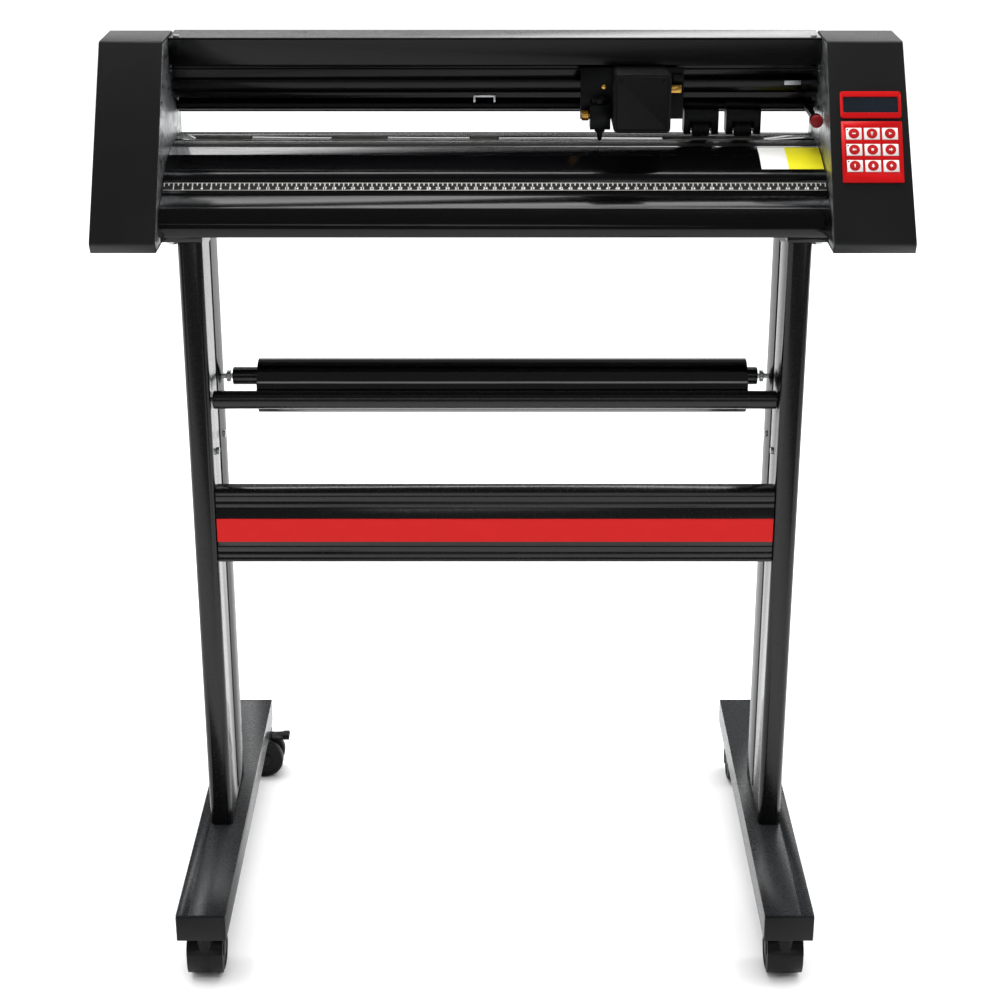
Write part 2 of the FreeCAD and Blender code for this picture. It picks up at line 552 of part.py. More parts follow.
def pinch_unit(index, centre):
    """A pinch roller in its sprung housing, which slides along the lifting shaft."""
    tag = f"pinch_{index}"
    left = f"{centre} - pinch_body / 2"
    hub = rod(tag + "_hub", "X", "bar_radius + 3.5", "pinch_body", left, "bar_line", BAR)
    cheeks = block(tag + "_cheeks", left, "pinch_body", "grit_line - 9", "bar_line - grit_line + 9",
                   f"{PINCH} - 4", f"{BAR} - {PINCH} + 4")
    room = block(tag + "_room", f"{centre} - pinch_width / 2 - 0.4", "pinch_width + 0.8", "grit_line - 20",
                 "29", f"{PINCH} - 20", "20 + pinch_radius + 1")
    bar_bore = rod(tag + "_bar_bore", "X", "bar_radius + running_gap", "80", f"{centre} - 40",
                   "bar_line", BAR)
    axle_bore = rod(tag + "_axle_bore", "X", "2 + running_gap", "pinch_body - 8", f"{left} + 4",
                    "grit_line", PINCH)
    whole = fuse(tag + "_whole", hub, cheeks)
    node(cut(tag + "_cut", whole, room, bar_bore, axle_bore), f"pinch_arm_{index}")
    tyre = rod(tag + "_tyre", "X", "pinch_radius", "pinch_width", f"{centre} - pinch_width / 2",
               "grit_line", PINCH)
    axle = rod(tag + "_axle", "X", "2", "pinch_body - 10", f"{left} + 5", "grit_line", PINCH)
    node(fuse(tag + "_wheel", tyre, axle), f"pinch_wheel_{index}")


def carriage():
    """Carriage plate with its runner, the cover over the lift motor, and the tool clamp."""
    guide_low = f"({BEAM_TOP} - guide_drop - guide_height / 2)"
    back = "(carriage_front + carriage_depth)"
    low = f"({PLATEN} + carriage_rise)"
    plate = block("slider_plate", "carriage_place - 64", "112", back, "3", f"{low} + 4", "slider_height")
    shoe = block("slider_shoe", "carriage_place - 30", "60", f"{back} + 2",
                 f"track_front - 1.5 - {back} - 2", f"{guide_low} - 6", "guide_height + 12")
    track = block("slider_track", "carriage_place - 31", "62", "track_front - guide_depth - 0.3",
                  "guide_depth + 2", f"{guide_low} - 0.3", "guide_height + 0.6")
    clamp = block("belt_clamp", "carriage_place + 36", "10", f"{back} - 6", "6.5",
                  f"{BEAM_TOP} - carriage_drop - 18", "9")
    jaw = block("belt_jaw", "carriage_place - 10", "20", f"{back} + 2.5", "8",
                f"{BEAM_TOP} - belt_drop - 14.5", "4.7")
    node(cut("slider", fuse("slider_whole", plate, shoe, clamp, jaw), track), "carriage_plate")

    shell = block("shell", "carriage_place - carriage_width / 2", "carriage_width", "carriage_front",
                  "carriage_depth - 0.3", low, "cover_height")
    room = block("shell_room", "carriage_place - carriage_width / 2 + carriage_wall",
                 "carriage_width - 2 * carriage_wall", "carriage_front + carriage_wall", "carriage_depth",
                 f"{low} + carriage_wall", "cover_height - 2 * carriage_wall")
    node(cut("cover", shell, room), "carriage_cover")

    height = f"{PLATEN} + 19"
    grip = block("grip", "tool_place - 11", "22", "tool_line - 12", f"{back} - tool_line + 11.7",
                 height, "26")
    bore = rod("tool_bore", "Z", "tool_radius", "60", "tool_place", "tool_line", f"{height} - 20")
    screw_bore = rod("screw_bore", "X", "2.5 + running_gap", "16", "tool_place - 20", "tool_line",
                     f"{height} + 13")
    node(cut("tool_grip", grip, bore, screw_bore), "tool_clamp")
    barrel = rod("barrel", "Z", "tool_radius - 0.02", "39", "tool_place", "tool_line", f"{PLATEN} + 12")
    collar = rod("collar", "Z", "tool_radius + 3", "6", "tool_place", "tool_line", f"{height} + 26.3")
    nose = rod("nose", "Z", "tool_radius - 2.5", "12 - tool_rise", "tool_place", "tool_line",
               f"{PLATEN} + tool_rise")
    node(fuse("blade_holder_whole", barrel, collar, nose), "blade_holder")
    stem = rod("screw_stem", "X", "2.5", "10", "tool_place - 16.5", "tool_line", f"{height} + 13")
    knob = rod("screw_knob", "X", "5.5", "8", "tool_place - 20", "tool_line", f"{height} + 13")
    node(fuse("clamp_screw_whole", stem, knob), "clamp_screw")


def drive():
    """Motors, pulleys and belts in the end casings."""
    guide = f"({BEAM_TOP} - belt_drop)"
    for name, x in (("carriage_pulley", "inner_width / 2 + 16"), ("idler_pulley", "-inner_width / 2 - 16")):
        wheel = rod(name + "_wheel", "Y", "8", "9", x, "77.5", guide)
        bore = rod(name + "_bore", "Y", "2.5 + running_gap", "20", x, "70", guide)
        node(cut(name + "_cut", wheel, bore), name)
    reach = "(gear_radius + pinion_radius + plate_gap)"
    feed_y, feed_z = f"(grit_line - 0.9 * {reach})", f"({GRIT} - 0.4359 * {reach})"
    pinion_start = "inner_width / 2 + plate_thick + 12"
    pinion = rod("pinion_wheel", "X", "pinion_radius", "8", pinion_start, feed_y, feed_z)
    pinion_bore = rod("pinion_bore", "X", "2.5 + running_gap", "30", "inner_width / 2", feed_y, feed_z)
    node(cut("pinion_cut", pinion, pinion_bore), "motor_pinion")

    upper = block("upper_motor_body", "inner_width / 2 + 2 + plate_thick", "42", "87.6", "24",
                  f"{guide} - 18", "36")
    upper_shaft = rod("upper_motor_shaft", "Y", "2.5", "14", "inner_width / 2 + 16", "75", guide)
    lower = block("lower_motor_body", "inner_width / 2 + plate_thick + 24", "34", f"{feed_y} - 21", "42",
                  f"{feed_z} - 21", "42")
    lower_shaft = rod("lower_motor_shaft", "X", "2.5", "14", f"{pinion_start} - 1", feed_y, feed_z)
    axle_plate = block("idler_bracket", "-inner_width / 2 - plate_thick - 26", "26", "88", "4",
                       f"{guide} - 12", "24")
    idler_axle = rod("idler_axle", "Y", "2.5", "16", "-inner_width / 2 - 16", "75", guide)
    node(group("motor_group", fuse("upper_motor", upper, upper_shaft),
               fuse("lower_motor", lower, lower_shaft),
               fuse("idler_mount", axle_plate, idler_axle)), "stepper_motors")

    strands = [block(f"strand_{name}", "-inner_width / 2 - 16", "inner_width + 32", "79", "6",
                     f"{guide} + {level}", "1.2") for name, level in (("top", "8.3"), ("low", "-9.5"))]
    node(group("belt_group", *strands), "carriage_belt")


def electronics():
    """Control board and supply on stand-offs in the end casings."""
    board = block("board", "-inner_width / 2 - plate_thick - 14", "2", "-10", "90", "head_level + 12", "80")
    posts = [rod(f"board_post_{y}_{z}", "X", "3", "12", "-inner_width / 2 - plate_thick - 12", y,
                 f"head_level + {z}") for y in (-2, 72) for z in (20, 84)]
    supply = block("supply", "-inner_width / 2 - plate_thick - 50", "28", "-20", "110",
                   "head_level + 4", "44")
    feet = block("supply_foot", "-inner_width / 2 - plate_thick - 50", "28", "-20", "110",
                 "head_level + cap_wall", "1.2")
    node(group("electronics_group", fuse("board_whole", board, *posts), fuse("supply_whole", supply, feet)),
         "electronics")


def power_entry():
    """Mains inlet and rocker switch in the back of the right casing."""
    low = "head_level + 30"
    flange = block("inlet_flange", "inner_width / 2 + 11", "34", "head_back", "2", "head_level + 27", "26")
    shell = block("inlet_shell", "inner_width / 2 + 14.2", "28", "head_back - 18", "19", low, "20")
    room = block("inlet_room", "inner_width / 2 + 16.2", "24", "head_back - 16", "20", f"{low} + 2", "16")
    shell = cut("inlet_cut", fuse("inlet_whole", flange, shell), room)
    pins = [block(f"inlet_pin_{x}", f"inner_width / 2 + 28.2 + {x} - 2", "4", "head_back - 17", "11",
                  f"{low} + 9 + {z}", "2") for x, z in ((-7, -1), (0, 2), (7, -1))]
    node(fuse("inlet_with_pins", shell, *pins), "power_inlet")
    rocker = block("rocker", "inner_width / 2 + 51", "12.4", "head_back - 8", "11", f"{low} + 1.2", "17.6")
    axle = rod("rocker_axle", "X", "2", "13.6", "inner_width / 2 + 50.4", "head_back - 3", f"{low} + 10")
    node(fuse("rocker_whole", rocker, axle), "power_switch")


def on_face(name, x, wide, along, tall, out, thick):
    """A plate on the leaning front of the right casing, measured up the slope and out from it."""
    y = f"-head_front + ({along}) * cos({FACE_TILT}) - ({out}) * sin({FACE_TILT})"
    z = f"head_level + lip_height + ({along}) * sin({FACE_TILT}) + ({out}) * cos({FACE_TILT})"
    box = block(name, x, wide, y, tall, z, thick)
    box.Placement = FreeCAD.Placement(box.Placement.Base, FreeCAD.Rotation(FreeCAD.Vector(1, 0, 0), 50))
    box.setExpression(".Placement.Rotation.Angle", formula(FACE_TILT))
    return box


def control_panel():
    """Red keypad with nine keys, and the display above it."""
    middle = "inner_width / 2 + panel_place"
    left = f"{middle} - keypad_width / 2"
    sheet_base = on_face("keypad_sheet", left, "keypad_width", "keypad_low", "keypad_height", "0",
                         "panel_thick")
    holes = []
    for row in range(3):
        for column in range(3):
            x = f"{middle} + {column - 1} * key_pitch - key_width / 2"
            along = f"keypad_low + keypad_height - 14 - {row} * key_rise - key_height / 2"
            tag = f"{row * 3 + column + 1}"
            holes.append(on_face("key_hole_" + tag, f"{x} - key_gap", "key_width + 2 * key_gap",
                                 f"{along} - key_gap", "key_height + 2 * key_gap", "-1", "panel_thick + 2"))
            key = on_face("key_" + tag, x, "key_width", along, "key_height", "key_travel",
                          "panel_thick - key_travel + key_stand")
            node(key, "key_" + tag)
    node(cut("keypad_cut", sheet_base, *holes), "keypad_panel")
    bezel = on_face("bezel", left, "keypad_width", "display_low", "display_height", "0", "panel_thick")
    glass_room = on_face("glass_room", f"{left} + 3", "keypad_width - 6", "display_low + 6",
                         "display_height - 12", "1", "panel_thick")
    node(cut("display_cut", bezel, glass_room), "display_bezel")


for side, name in ((-1, "left_base_rail"), (1, "right_base_rail")):
    base_rail(side, name)
rail_plugs()
for side, name in ((-1, "left_post"), (1, "right_post")):
    post(side, name)
mount_plates()
stretcher()
fasteners()
media_roller(-1, "front_roller_inset", "front_roller")
media_roller(1, "rear_roller_inset", "rear_roller")
media_roll()
castor_stems()
for tag, (side, end, heading) in CASTORS.items():
    castor(tag, side, end, heading)
end_cap(-1, "left_cap_width", "left_cap_taper", "left_end_cap")
end_cap(1, "right_cap_width", "right_cap_taper", "right_end_cap")
end_frames()
bed()
feed_shaft()
upper_beam()
pinch_bar()
pinch_unit(1, "pinch_one")
pinch_unit(2, "pinch_two")
carriage()
drive()
electronics()
power_entry()
control_panel()

doc.recompute()

for item in doc.Objects:
    if {"Invalid", "Error"} & set(item.State):
        raise RuntimeError(f"{item.Name} did not build: {item.State}")
os.makedirs("parts", exist_ok=True)
for name, item in NODES.items():
    shape = item.Shape
    if shape.isNull() or not shape.isValid() or not shape.Solids:
        raise RuntimeError(f"{name} has no valid solid")
for name, item in NODES.items():
    item.Shape.exportStep(f"parts/{name}.step")
    box = item.Shape.BoundBox
    print(f"{name:26s} {len(item.Shape.Solids)} solids, {item.Shape.Volume / 1000:9.2f} cm3, "
          f"x {box.XMin:.1f}..{box.XMax:.1f}  "
          f"y {box.YMin:.1f}..{box.YMax:.1f}  z {box.ZMin:.1f}..{box.ZMax:.1f}")
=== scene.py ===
# %% [markdown]
# This lesson dresses a vinyl cutter on a castored stand.  The imported CAD model is the frame: it says how
# large every part is, where it stands and what it moves with.  Nothing here changes those places.

# %% Load the frame
import bmesh
import bpy
import json
import math
from mathutils import Matrix, Vector


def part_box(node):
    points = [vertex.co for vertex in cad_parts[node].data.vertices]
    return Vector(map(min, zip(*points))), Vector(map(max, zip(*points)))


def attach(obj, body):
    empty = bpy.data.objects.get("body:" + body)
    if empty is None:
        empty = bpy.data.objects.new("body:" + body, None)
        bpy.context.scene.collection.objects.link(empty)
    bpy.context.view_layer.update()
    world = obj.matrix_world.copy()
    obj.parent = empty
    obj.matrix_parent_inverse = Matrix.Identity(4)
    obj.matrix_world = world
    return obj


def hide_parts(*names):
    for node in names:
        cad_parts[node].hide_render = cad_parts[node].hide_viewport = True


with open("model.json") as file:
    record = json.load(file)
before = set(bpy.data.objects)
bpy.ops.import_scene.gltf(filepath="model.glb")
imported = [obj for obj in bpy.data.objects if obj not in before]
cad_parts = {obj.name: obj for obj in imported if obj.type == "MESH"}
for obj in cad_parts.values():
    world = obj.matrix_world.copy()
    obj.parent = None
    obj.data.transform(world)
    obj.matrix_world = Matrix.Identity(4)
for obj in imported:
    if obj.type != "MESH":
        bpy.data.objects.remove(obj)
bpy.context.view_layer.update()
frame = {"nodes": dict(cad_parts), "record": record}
BODY_OF = {node: body for body, nodes in frame["record"]["behaviour"]["bodies"].items() for node in nodes}

# %% [markdown]
# The camera comes first.  It is a long lens, a little above the machine and tilted down, as for a catalogue.
# It stands about 2.2 m away, so the machine's upright lines close in only slightly towards the floor.

# %% Camera
scene = bpy.context.scene
MIDDLE_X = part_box("top_beam")[0].x / 2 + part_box("top_beam")[1].x / 2
CAMERA_AWAY, CAMERA_HIGH, CAMERA_ASIDE, CAMERA_TILT = 2.225, 1.372, 0.0055, 21.9


def placed(name, data):
    """A new object that holds this data, in the scene."""
    thing = bpy.data.objects.new(name, data)
    scene.collection.objects.link(thing)
    return thing


camera = placed("camera", bpy.data.cameras.new("camera"))
camera.data.sensor_width = 36
camera.data.lens = 76.2
camera.location = (MIDDLE_X + CAMERA_ASIDE, -CAMERA_AWAY, CAMERA_HIGH)
camera.rotation_euler = (math.radians(90 - CAMERA_TILT), 0, 0)
scene.camera = camera
print("camera", [round(value, 3) for value in camera.location])

# %% [markdown]
# Black machines show their shape only by what they reflect, so the lights are large and soft: one overhead,
# one on each side, a low one in front for the faces that lean forward, and a wide one behind that gives the
# flat tops a bright sheen.  A broad sun lights the floor evenly.  It is hidden from reflections, because a
# gloss surface would mirror it as a grey veil.

# %% Lights


def soft_light(name, place, aim, size, watts):
    """A rectangular softbox that looks at a point."""
    data = bpy.data.lights.new(name, "AREA")
    data.shape = "RECTANGLE"
    data.size, data.size_y = size
    data.energy = watts
    lamp = placed(name, data)
    lamp.location = place
    lamp.rotation_euler = (Vector(aim) - Vector(place)).to_track_quat("-Z", "Y").to_euler()


soft_light("overhead", (0, 0.9, 2.6), (0, 0, 0.9), (2.4, 0.7), 30)
soft_light("left_box", (-2.4, 0.4, 1.4), (0, 0, 0.6), (0.8, 2.2), 26)
soft_light("right_box", (2.4, 0.4, 1.4), (0, 0, 0.6), (0.8, 2.2), 26)
soft_light("front_box", (0.2, -3.4, 2.6), (0, 0, 0.7), (2.4, 0.5), 9)
soft_light("back_box", (0, 4.2, 1.75), (0, 0, 1.1), (5.0, 0.8), 32)
sky = placed("sky", bpy.data.lights.new("sky", "SUN"))
sky.data.energy, sky.data.angle = 3.3, math.radians(60)
sky.visible_glossy = False
world = bpy.data.worlds.new("studio")
world.use_nodes = True
world.node_tree.nodes["Background"].inputs["Color"].default_value = (1, 1, 1, 1)
world.node_tree.nodes["Background"].inputs["Strength"].default_value = 0.16
scene.world = world
scene.view_settings.view_transform = "Standard"

# %% [markdown]
# Every tree in this lesson, for materials and for geometry, is wired with one function: it adds a node, sets
# its properties, and sets or links its inputs.  Colours are written as designers quote them, in sRGB hex, and
# one function turns them to the linear values that the shader wants.

# %% One function for nodes, one for colours
def mm(value):
    return value / 1000


def add(tree, kind, inputs=None, **settings):
    """Add one node to a tree with its settings, and with its inputs set or linked."""
    made = tree.nodes.new(kind)
    for name, value in settings.items():
        setattr(made, name, value)
    for key, value in (inputs or {}).items():
        if isinstance(value, bpy.types.NodeSocket):
            tree.links.new(value, made.inputs[key])
        else:
            made.inputs[key].default_value = value
    return made


def linear(code):
    """The linear colour of an sRGB hex value."""
    shares = [int(code[start:start + 2], 16) / 255 for start in (1, 3, 5)]
    return [s / 12.92 if s <= 0.04045 else ((s + 0.055) / 1.055) ** 2.4 for s in shares] + [1]


print("white is", [round(value, 3) for value in linear("#ffffff")])

# %% [markdown]
# A material starts as a Principled shader with one colour.  Real finishes are never quite even, so most get
# three things from the same place in the object: a slow drift of the colour, a patchy roughness, and a fine
# relief.  The size of each pattern is a real one in millimetres, turned into a texture scale.

# %% How a finish is started, and how it is made uneven
def start_finish(name, colour, roughness, metallic=0.0, coat=0.0, gloss=0.5):
    """A Principled material of one colour; returns it with its tree, shader and Object coordinates."""
    material = bpy.data.materials.new(name)
    material.use_nodes = True
    tree = material.node_tree
    tree.nodes.clear()
    shader = add(tree, "ShaderNodeBsdfPrincipled", {
        "Base Color": linear(colour), "Roughness": roughness, "Metallic": metallic, "Coat Weight": coat,
        "Specular IOR Level": gloss})
    add(tree, "ShaderNodeOutputMaterial", {"Surface": shader.outputs["BSDF"]})
    where = add(tree, "ShaderNodeTexCoord").outputs["Object"]
    return material, tree, shader, where


def blend(tree, shader, factor, dark, light):
    """Colour the shader between two hex values, by a socket that runs from 0 to 1."""
    mixed = add(tree, "ShaderNodeMix", {"Factor": factor}, data_type="RGBA")
    mixed.inputs["A"].default_value = linear(dark)
    mixed.inputs["B"].default_value = linear(light)
    tree.links.new(mixed.outputs["Result"], shader.inputs["Base Color"])


def drift(tree, shader, where, size, light, dark):
    """Let the colour wander slowly between two near values."""
    cloud = add(tree, "ShaderNodeTexNoise", {"Vector": where, "Scale": 1 / mm(size), "Detail": 3.0})
    blend(tree, shader, cloud.outputs["Fac"], dark, light)


def relief(tree, shader, where, size, height, stretch=(1, 1, 1), detail=2.0, rough=None):
    """Fine relief of one grain size; rough gives the lowest and highest roughness that goes with it."""
    mapped = add(tree, "ShaderNodeMapping", {"Vector": where, "Scale": stretch})
    grain = add(tree, "ShaderNodeTexNoise", {
        "Vector": mapped.outputs["Vector"], "Scale": 1 / mm(size), "Detail": detail})
    bump = add(tree, "ShaderNodeBump", {
        "Height": grain.outputs["Fac"], "Strength": 1.0, "Distance": mm(height)})
    tree.links.new(bump.outputs["Normal"], shader.inputs["Normal"])
    if rough:
        spread = add(tree, "ShaderNodeMapRange", {
            "Value": grain.outputs["Fac"], "From Min": 0.3, "From Max": 0.7,
            "To Min": rough[0], "To Max": rough[1]})
        tree.links.new(spread.outputs["Result"], shader.inputs["Roughness"])


print("finish helpers ready")

# %% [markdown]
# The end casings and the carriage cover are ABS from a spark-eroded mould, and the castor hoods are nylon
# from one like it.  The mould leaves a matt pebble grain under a millimetre wide, which breaks a highlight up
# but doesn't hide it.

# %% Spark-eroded ABS
def moulded_abs(name, light, dark, rough, gloss):
    material, tree, shader, where = start_finish(name, dark, rough, gloss=gloss)
    shader.inputs["IOR"].default_value = 1.54
    drift(tree, shader, where, 60, light, dark)
    relief(tree, shader, where, 0.9, 0.10, rough=(rough - 0.07, rough + 0.07))
    return material


CASING_ABS = moulded_abs("spark_eroded_abs", "#141415", "#0e0e0f", 0.44, 0.26)
COVER_ABS = moulded_abs("carriage_abs", "#0a0a0b", "#060607", 0.42, 0.12)
HOOD_NYLON = moulded_abs("moulded_nylon", "#0c0c0e", "#080809", 0.38, 0.16)
print(CASING_ABS.name, COVER_ABS.name, HOOD_NYLON.name)

# %% [markdown]
# The stand is extruded aluminium with a satin powder coat.  Powder flows into a skin with a faint orange
# peel, two or three millimetres from crest to crest, so long reflections waver slightly.

# %% Satin powder coat
def powder_coat(name, light, dark, rough, gloss):
    material, tree, shader, where = start_finish(name, dark, rough, gloss=gloss)
    drift(tree, shader, where, 90, light, dark)
    relief(tree, shader, where, 2.4, 0.06, rough=(rough - 0.05, rough + 0.06))
    return material


STAND_COAT = powder_coat("satin_powder_coat", "#101011", "#0a0a0b", 0.22, 0.34)
RAIL_COAT = powder_coat("graphite_powder_coat", "#26282a", "#1e2022", 0.28, 0.4)
print(STAND_COAT.name, RAIL_COAT.name)

# %% [markdown]
# The platen, the beam and the lower cover are extruded aluminium, anodised black.  The die leaves fine
# drawn lines along the length, so the grain is stretched fifty times along X.  The platen is brightened
# before it is anodised, and film slides over it, so it is the glossiest of the three.

# %% Black anodised extrusions
def anodised(name, light, dark, rough, coat):
    material, tree, shader, where = start_finish(name, dark, rough, metallic=0.1, coat=coat, gloss=0.25)
    shader.inputs["Coat Roughness"].default_value = 0.12
    drift(tree, shader, where, 120, light, dark)
    relief(tree, shader, where, 0.8, 0.015, stretch=(0.02, 1, 1), rough=(rough - 0.05, rough + 0.05))
    return material


PLATEN_ANODISED = anodised("bright_black_anodising", "#060607", "#030304", 0.18, 0.08)
BEAM_ANODISED = anodised("matt_black_anodising", "#060607", "#040405", 0.2, 0.0)
print(PLATEN_ANODISED.name, BEAM_ANODISED.name)

# %% [markdown]
# The inner side plates are hot-dip galvanised steel.  Zinc freezes in flat crystals, the spangle, and each
# one reflects a little differently.  A Voronoi texture of 7 mm cells gives every cell its own roughness.

# %% Galvanised sheet
def galvanised():
    material, tree, shader, where = start_finish("galvanised_sheet", "#b9bbbd", 0.36, metallic=1.0)
    spangle = add(tree, "ShaderNodeTexVoronoi", {"Vector": where, "Scale": 1 / mm(7)})
    grey = add(tree, "ShaderNodeSeparateColor", {"Color": spangle.outputs["Color"]})
    spread = add(tree, "ShaderNodeMapRange", {"Value": grey.outputs["Red"], "To Min": 0.26, "To Max": 0.5})
    tree.links.new(spread.outputs["Result"], shader.inputs["Roughness"])
    blend(tree, shader, grey.outputs["Green"], "#a3a6a9", "#c2c4c6")
    return material


GALVANISED = galvanised()
print(GALVANISED.name)

# %% [markdown]
# Turned and ground metals carry rings from the tool.  Zinc plate on bolts is a little cloudy, ground shafts
# are bright with lines around them, and the brass of the clamp screw is warm and softly worn.

# %% Plated, ground and turned metal
def bright_metal(name, colour, rough, ring=(1, 1, 1), grain=0.7):
    material, tree, shader, where = start_finish(name, colour, rough, metallic=1.0)
    relief(tree, shader, where, grain, 0.012, stretch=ring, rough=(rough - 0.06, rough + 0.08))
    return material


ZINC = bright_metal("zinc_plate", "#c3c6c9", 0.3)
GROUND_STEEL = bright_metal("ground_steel", "#b9bbbe", 0.24, ring=(1, 0.05, 0.05))
BRASS = bright_metal("turned_brass", "#c79b4e", 0.28, ring=(1, 0.1, 0.1))
MOTOR_STEEL = bright_metal("laminated_steel", "#8e9092", 0.42, ring=(0.05, 1, 0.05))
print([metal.name for metal in (ZINC, GROUND_STEEL, BRASS, MOTOR_STEEL)])

# %% [markdown]
# Small steel parts on the carriage are chemically blackened: dark, slightly metallic and dry.  Rollers,
# belts and castor treads are rubber or hard nylon, which scatter light and show no clear reflection.  So do
# the grit on the feed shaft, the board's lacquer and the card inside the roll.

# %% Black oxide, rubber and grit
def black_oxide():
    material, tree, shader, where = start_finish("black_oxide_steel", "#0e0f10", 0.42, metallic=0.4, gloss=0.2)
    relief(tree, shader, where, 0.6, 0.02, rough=(0.36, 0.5))
    return material


def dull(name, light, dark, rough, size, height):
    material, tree, shader, where = start_finish(name, dark, rough, gloss=0.2)
    drift(tree, shader, where, 15, light, dark)
    relief(tree, shader, where, size, height, rough=(rough - 0.08, rough + 0.08))
    return material


BLACK_STEEL = black_oxide()
RUBBER = dull("nitrile_rubber", "#1a1a1a", "#121212", 0.75, 0.5, 0.03)
TREAD = dull("hard_nylon_tread", "#101011", "#0a0a0b", 0.5, 1.2, 0.04)
GRIT = dull("abrasive_coating", "#6d6c69", "#3b3b3a", 0.7, 0.35, 0.12)
BOARD = dull("circuit_board", "#1f6b3a", "#164f2a", 0.4, 2.0, 0.02)
CARD = dull("spiral_card", "#a98a63", "#8d7150", 0.85, 1.5, 0.05)
print([thing.name for thing in (BLACK_STEEL, RUBBER, TREAD, GRIT, BOARD, CARD)])

# %% [markdown]
# The roll is calendered vinyl film: almost a mirror, but the layers under it are never quite round, so the
# reflection has slow waves, about 60 mm long.

# %% Gloss vinyl film
def vinyl_film():
    material, tree, shader, where = start_finish("calendered_vinyl", "#040405", 0.09, coat=0.4, gloss=0.4)
    shader.inputs["IOR"].default_value = 1.53
    shader.inputs["Coat Roughness"].default_value = 0.04
    relief(tree, shader, where, 60, 0.5, stretch=(0.6, 1.6, 1.6), detail=1.0)
    return material


FILM = vinyl_film()
print(FILM.name)

# %% [markdown]
# The keypad and the display frame are polyester overlays printed from behind.  The film has a very fine
# velvet texture, and the red is strong and even.  Inks, caps and labels are plain colours with a light grain.

# %% Printed overlays, inks and the display
def printed(name, light, dark, rough, size=0.5, height=0.012):
    material, tree, shader, where = start_finish(name, dark, rough, gloss=0.2)
    drift(tree, shader, where, 30, light, dark)
    relief(tree, shader, where, size, height, rough=(rough - 0.04, rough + 0.05))
    return material


RED_OVERLAY = printed("red_polyester", "#c40c10", "#b8080c", 0.4)
KEY_CAP = printed("white_key_cap", "#efecea", "#e6e2e0", 0.4)
KEY_RED = printed("red_key_ink", "#b91c20", "#ad171b", 0.45)
BLACK_INK = printed("black_ink", "#1a1a1a", "#141414", 0.5)
WHITE_INK = printed("white_ink", "#eceae6", "#dedcd8", 0.5)
RED_STRIPE = printed("red_stripe_film", "#d80b07", "#cc0805", 0.36)
RED_PLASTIC = printed("red_moulding", "#8e1a20", "#7a1217", 0.35)
LABEL_WHITE = printed("white_label_film", "#f1f0ed", "#e6e5e1", 0.45)
LABEL_YELLOW = printed("yellow_label_film", "#e9e02a", "#dfd51f", 0.45)


def display_window():
    material, tree, shader, where = start_finish("smoked_acrylic", "#161b23", 0.12, coat=0.4, gloss=0.3)
    drift(tree, shader, where, 45, "#1c222c", "#12161d")
    relief(tree, shader, where, 25, 0.05, detail=0.0)
    return material


SMOKED_ACRYLIC = display_window()
print("inks and overlays ready")

# %% [markdown]
# Now the mesh helpers.  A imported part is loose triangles, so we never edit it: we copy it, merge the copy,
# make its flat faces whole, and round its edges with a Bevel modifier.  A real edge is never perfectly
# sharp, and the thin highlight along it is what makes a black part readable.  The finished mesh has its
# place in itself, with its object at the origin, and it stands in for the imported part.

# %% Copies, finished pieces and rounded edges
def finish_piece(name, mesh, material, body, smooth=35, replaces=()):
    """Make a mesh into a piece that rides on a body."""
    mesh.materials.clear()
    mesh.materials.append(material)
    thing = placed(name, mesh)
    mesh.shade_smooth()
    if smooth:
        mesh.set_sharp_from_angle(angle=math.radians(smooth))
    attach(thing, body)
    if replaces:
        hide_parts(*replaces)
    return thing


def merged(node):
    """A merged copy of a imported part, as a bmesh with whole flat faces."""
    work = bmesh.new()
    work.from_mesh(frame["nodes"][node].data)
    bmesh.ops.remove_doubles(work, verts=work.verts, dist=mm(0.002))
    bmesh.ops.dissolve_limit(work, angle_limit=math.radians(0.4), verts=work.verts, edges=work.edges)
    return work


def to_mesh(work, name):
    mesh = bpy.data.meshes.new(name)
    work.to_mesh(mesh)
    work.free()
    return mesh


def evaluated(thing):
    """The plain mesh that an object's modifiers or text give.  The object is then removed."""
    bpy.context.view_layer.update()
    graph = bpy.context.evaluated_depsgraph_get()
    mesh = bpy.data.meshes.new_from_object(thing.evaluated_get(graph), depsgraph=graph)
    bpy.data.objects.remove(thing)
    return mesh


def applied(mesh, *steps):
    """The mesh that a list of (modifier type, settings) makes of another."""
    thing = placed("bench", mesh)
    for kind, settings in steps:
        modifier = thing.modifiers.new(kind.lower(), kind)
        for key, value in settings.items():
            setattr(modifier, key, value)
    return evaluated(thing)


def edge_bevel(width, segments=2, angle=40):
    return ("BEVEL", {"width": mm(width), "segments": segments, "limit_method": "ANGLE",
                      "angle_limit": math.radians(angle), "harden_normals": True, "use_clamp_overlap": True})


def soften(node, material, width, segments=2, extra=()):
    """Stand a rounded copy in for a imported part; extra modifiers come before the rounding."""
    mesh = applied(to_mesh(merged(node), node), *extra, edge_bevel(width, segments))
    return finish_piece(node + "_shell", mesh, material, BODY_OF[node], replaces=(node,))


print("mesh helpers ready")

# %% [markdown]
# Turned parts, such as rollers, wheels and knobs, are one outline spun round an axis.  We build the rings of
# points ourselves, because then the mesh is closed, faces outwards and has no seam to merge.

# %% Turned parts
TURN = {"X": Matrix(((0, 0, 1), (0, 1, 0), (-1, 0, 0))), "Y": Matrix(((1, 0, 0), (0, 0, 1), (0, -1, 0))),
        "Z": Matrix.Identity(3)}


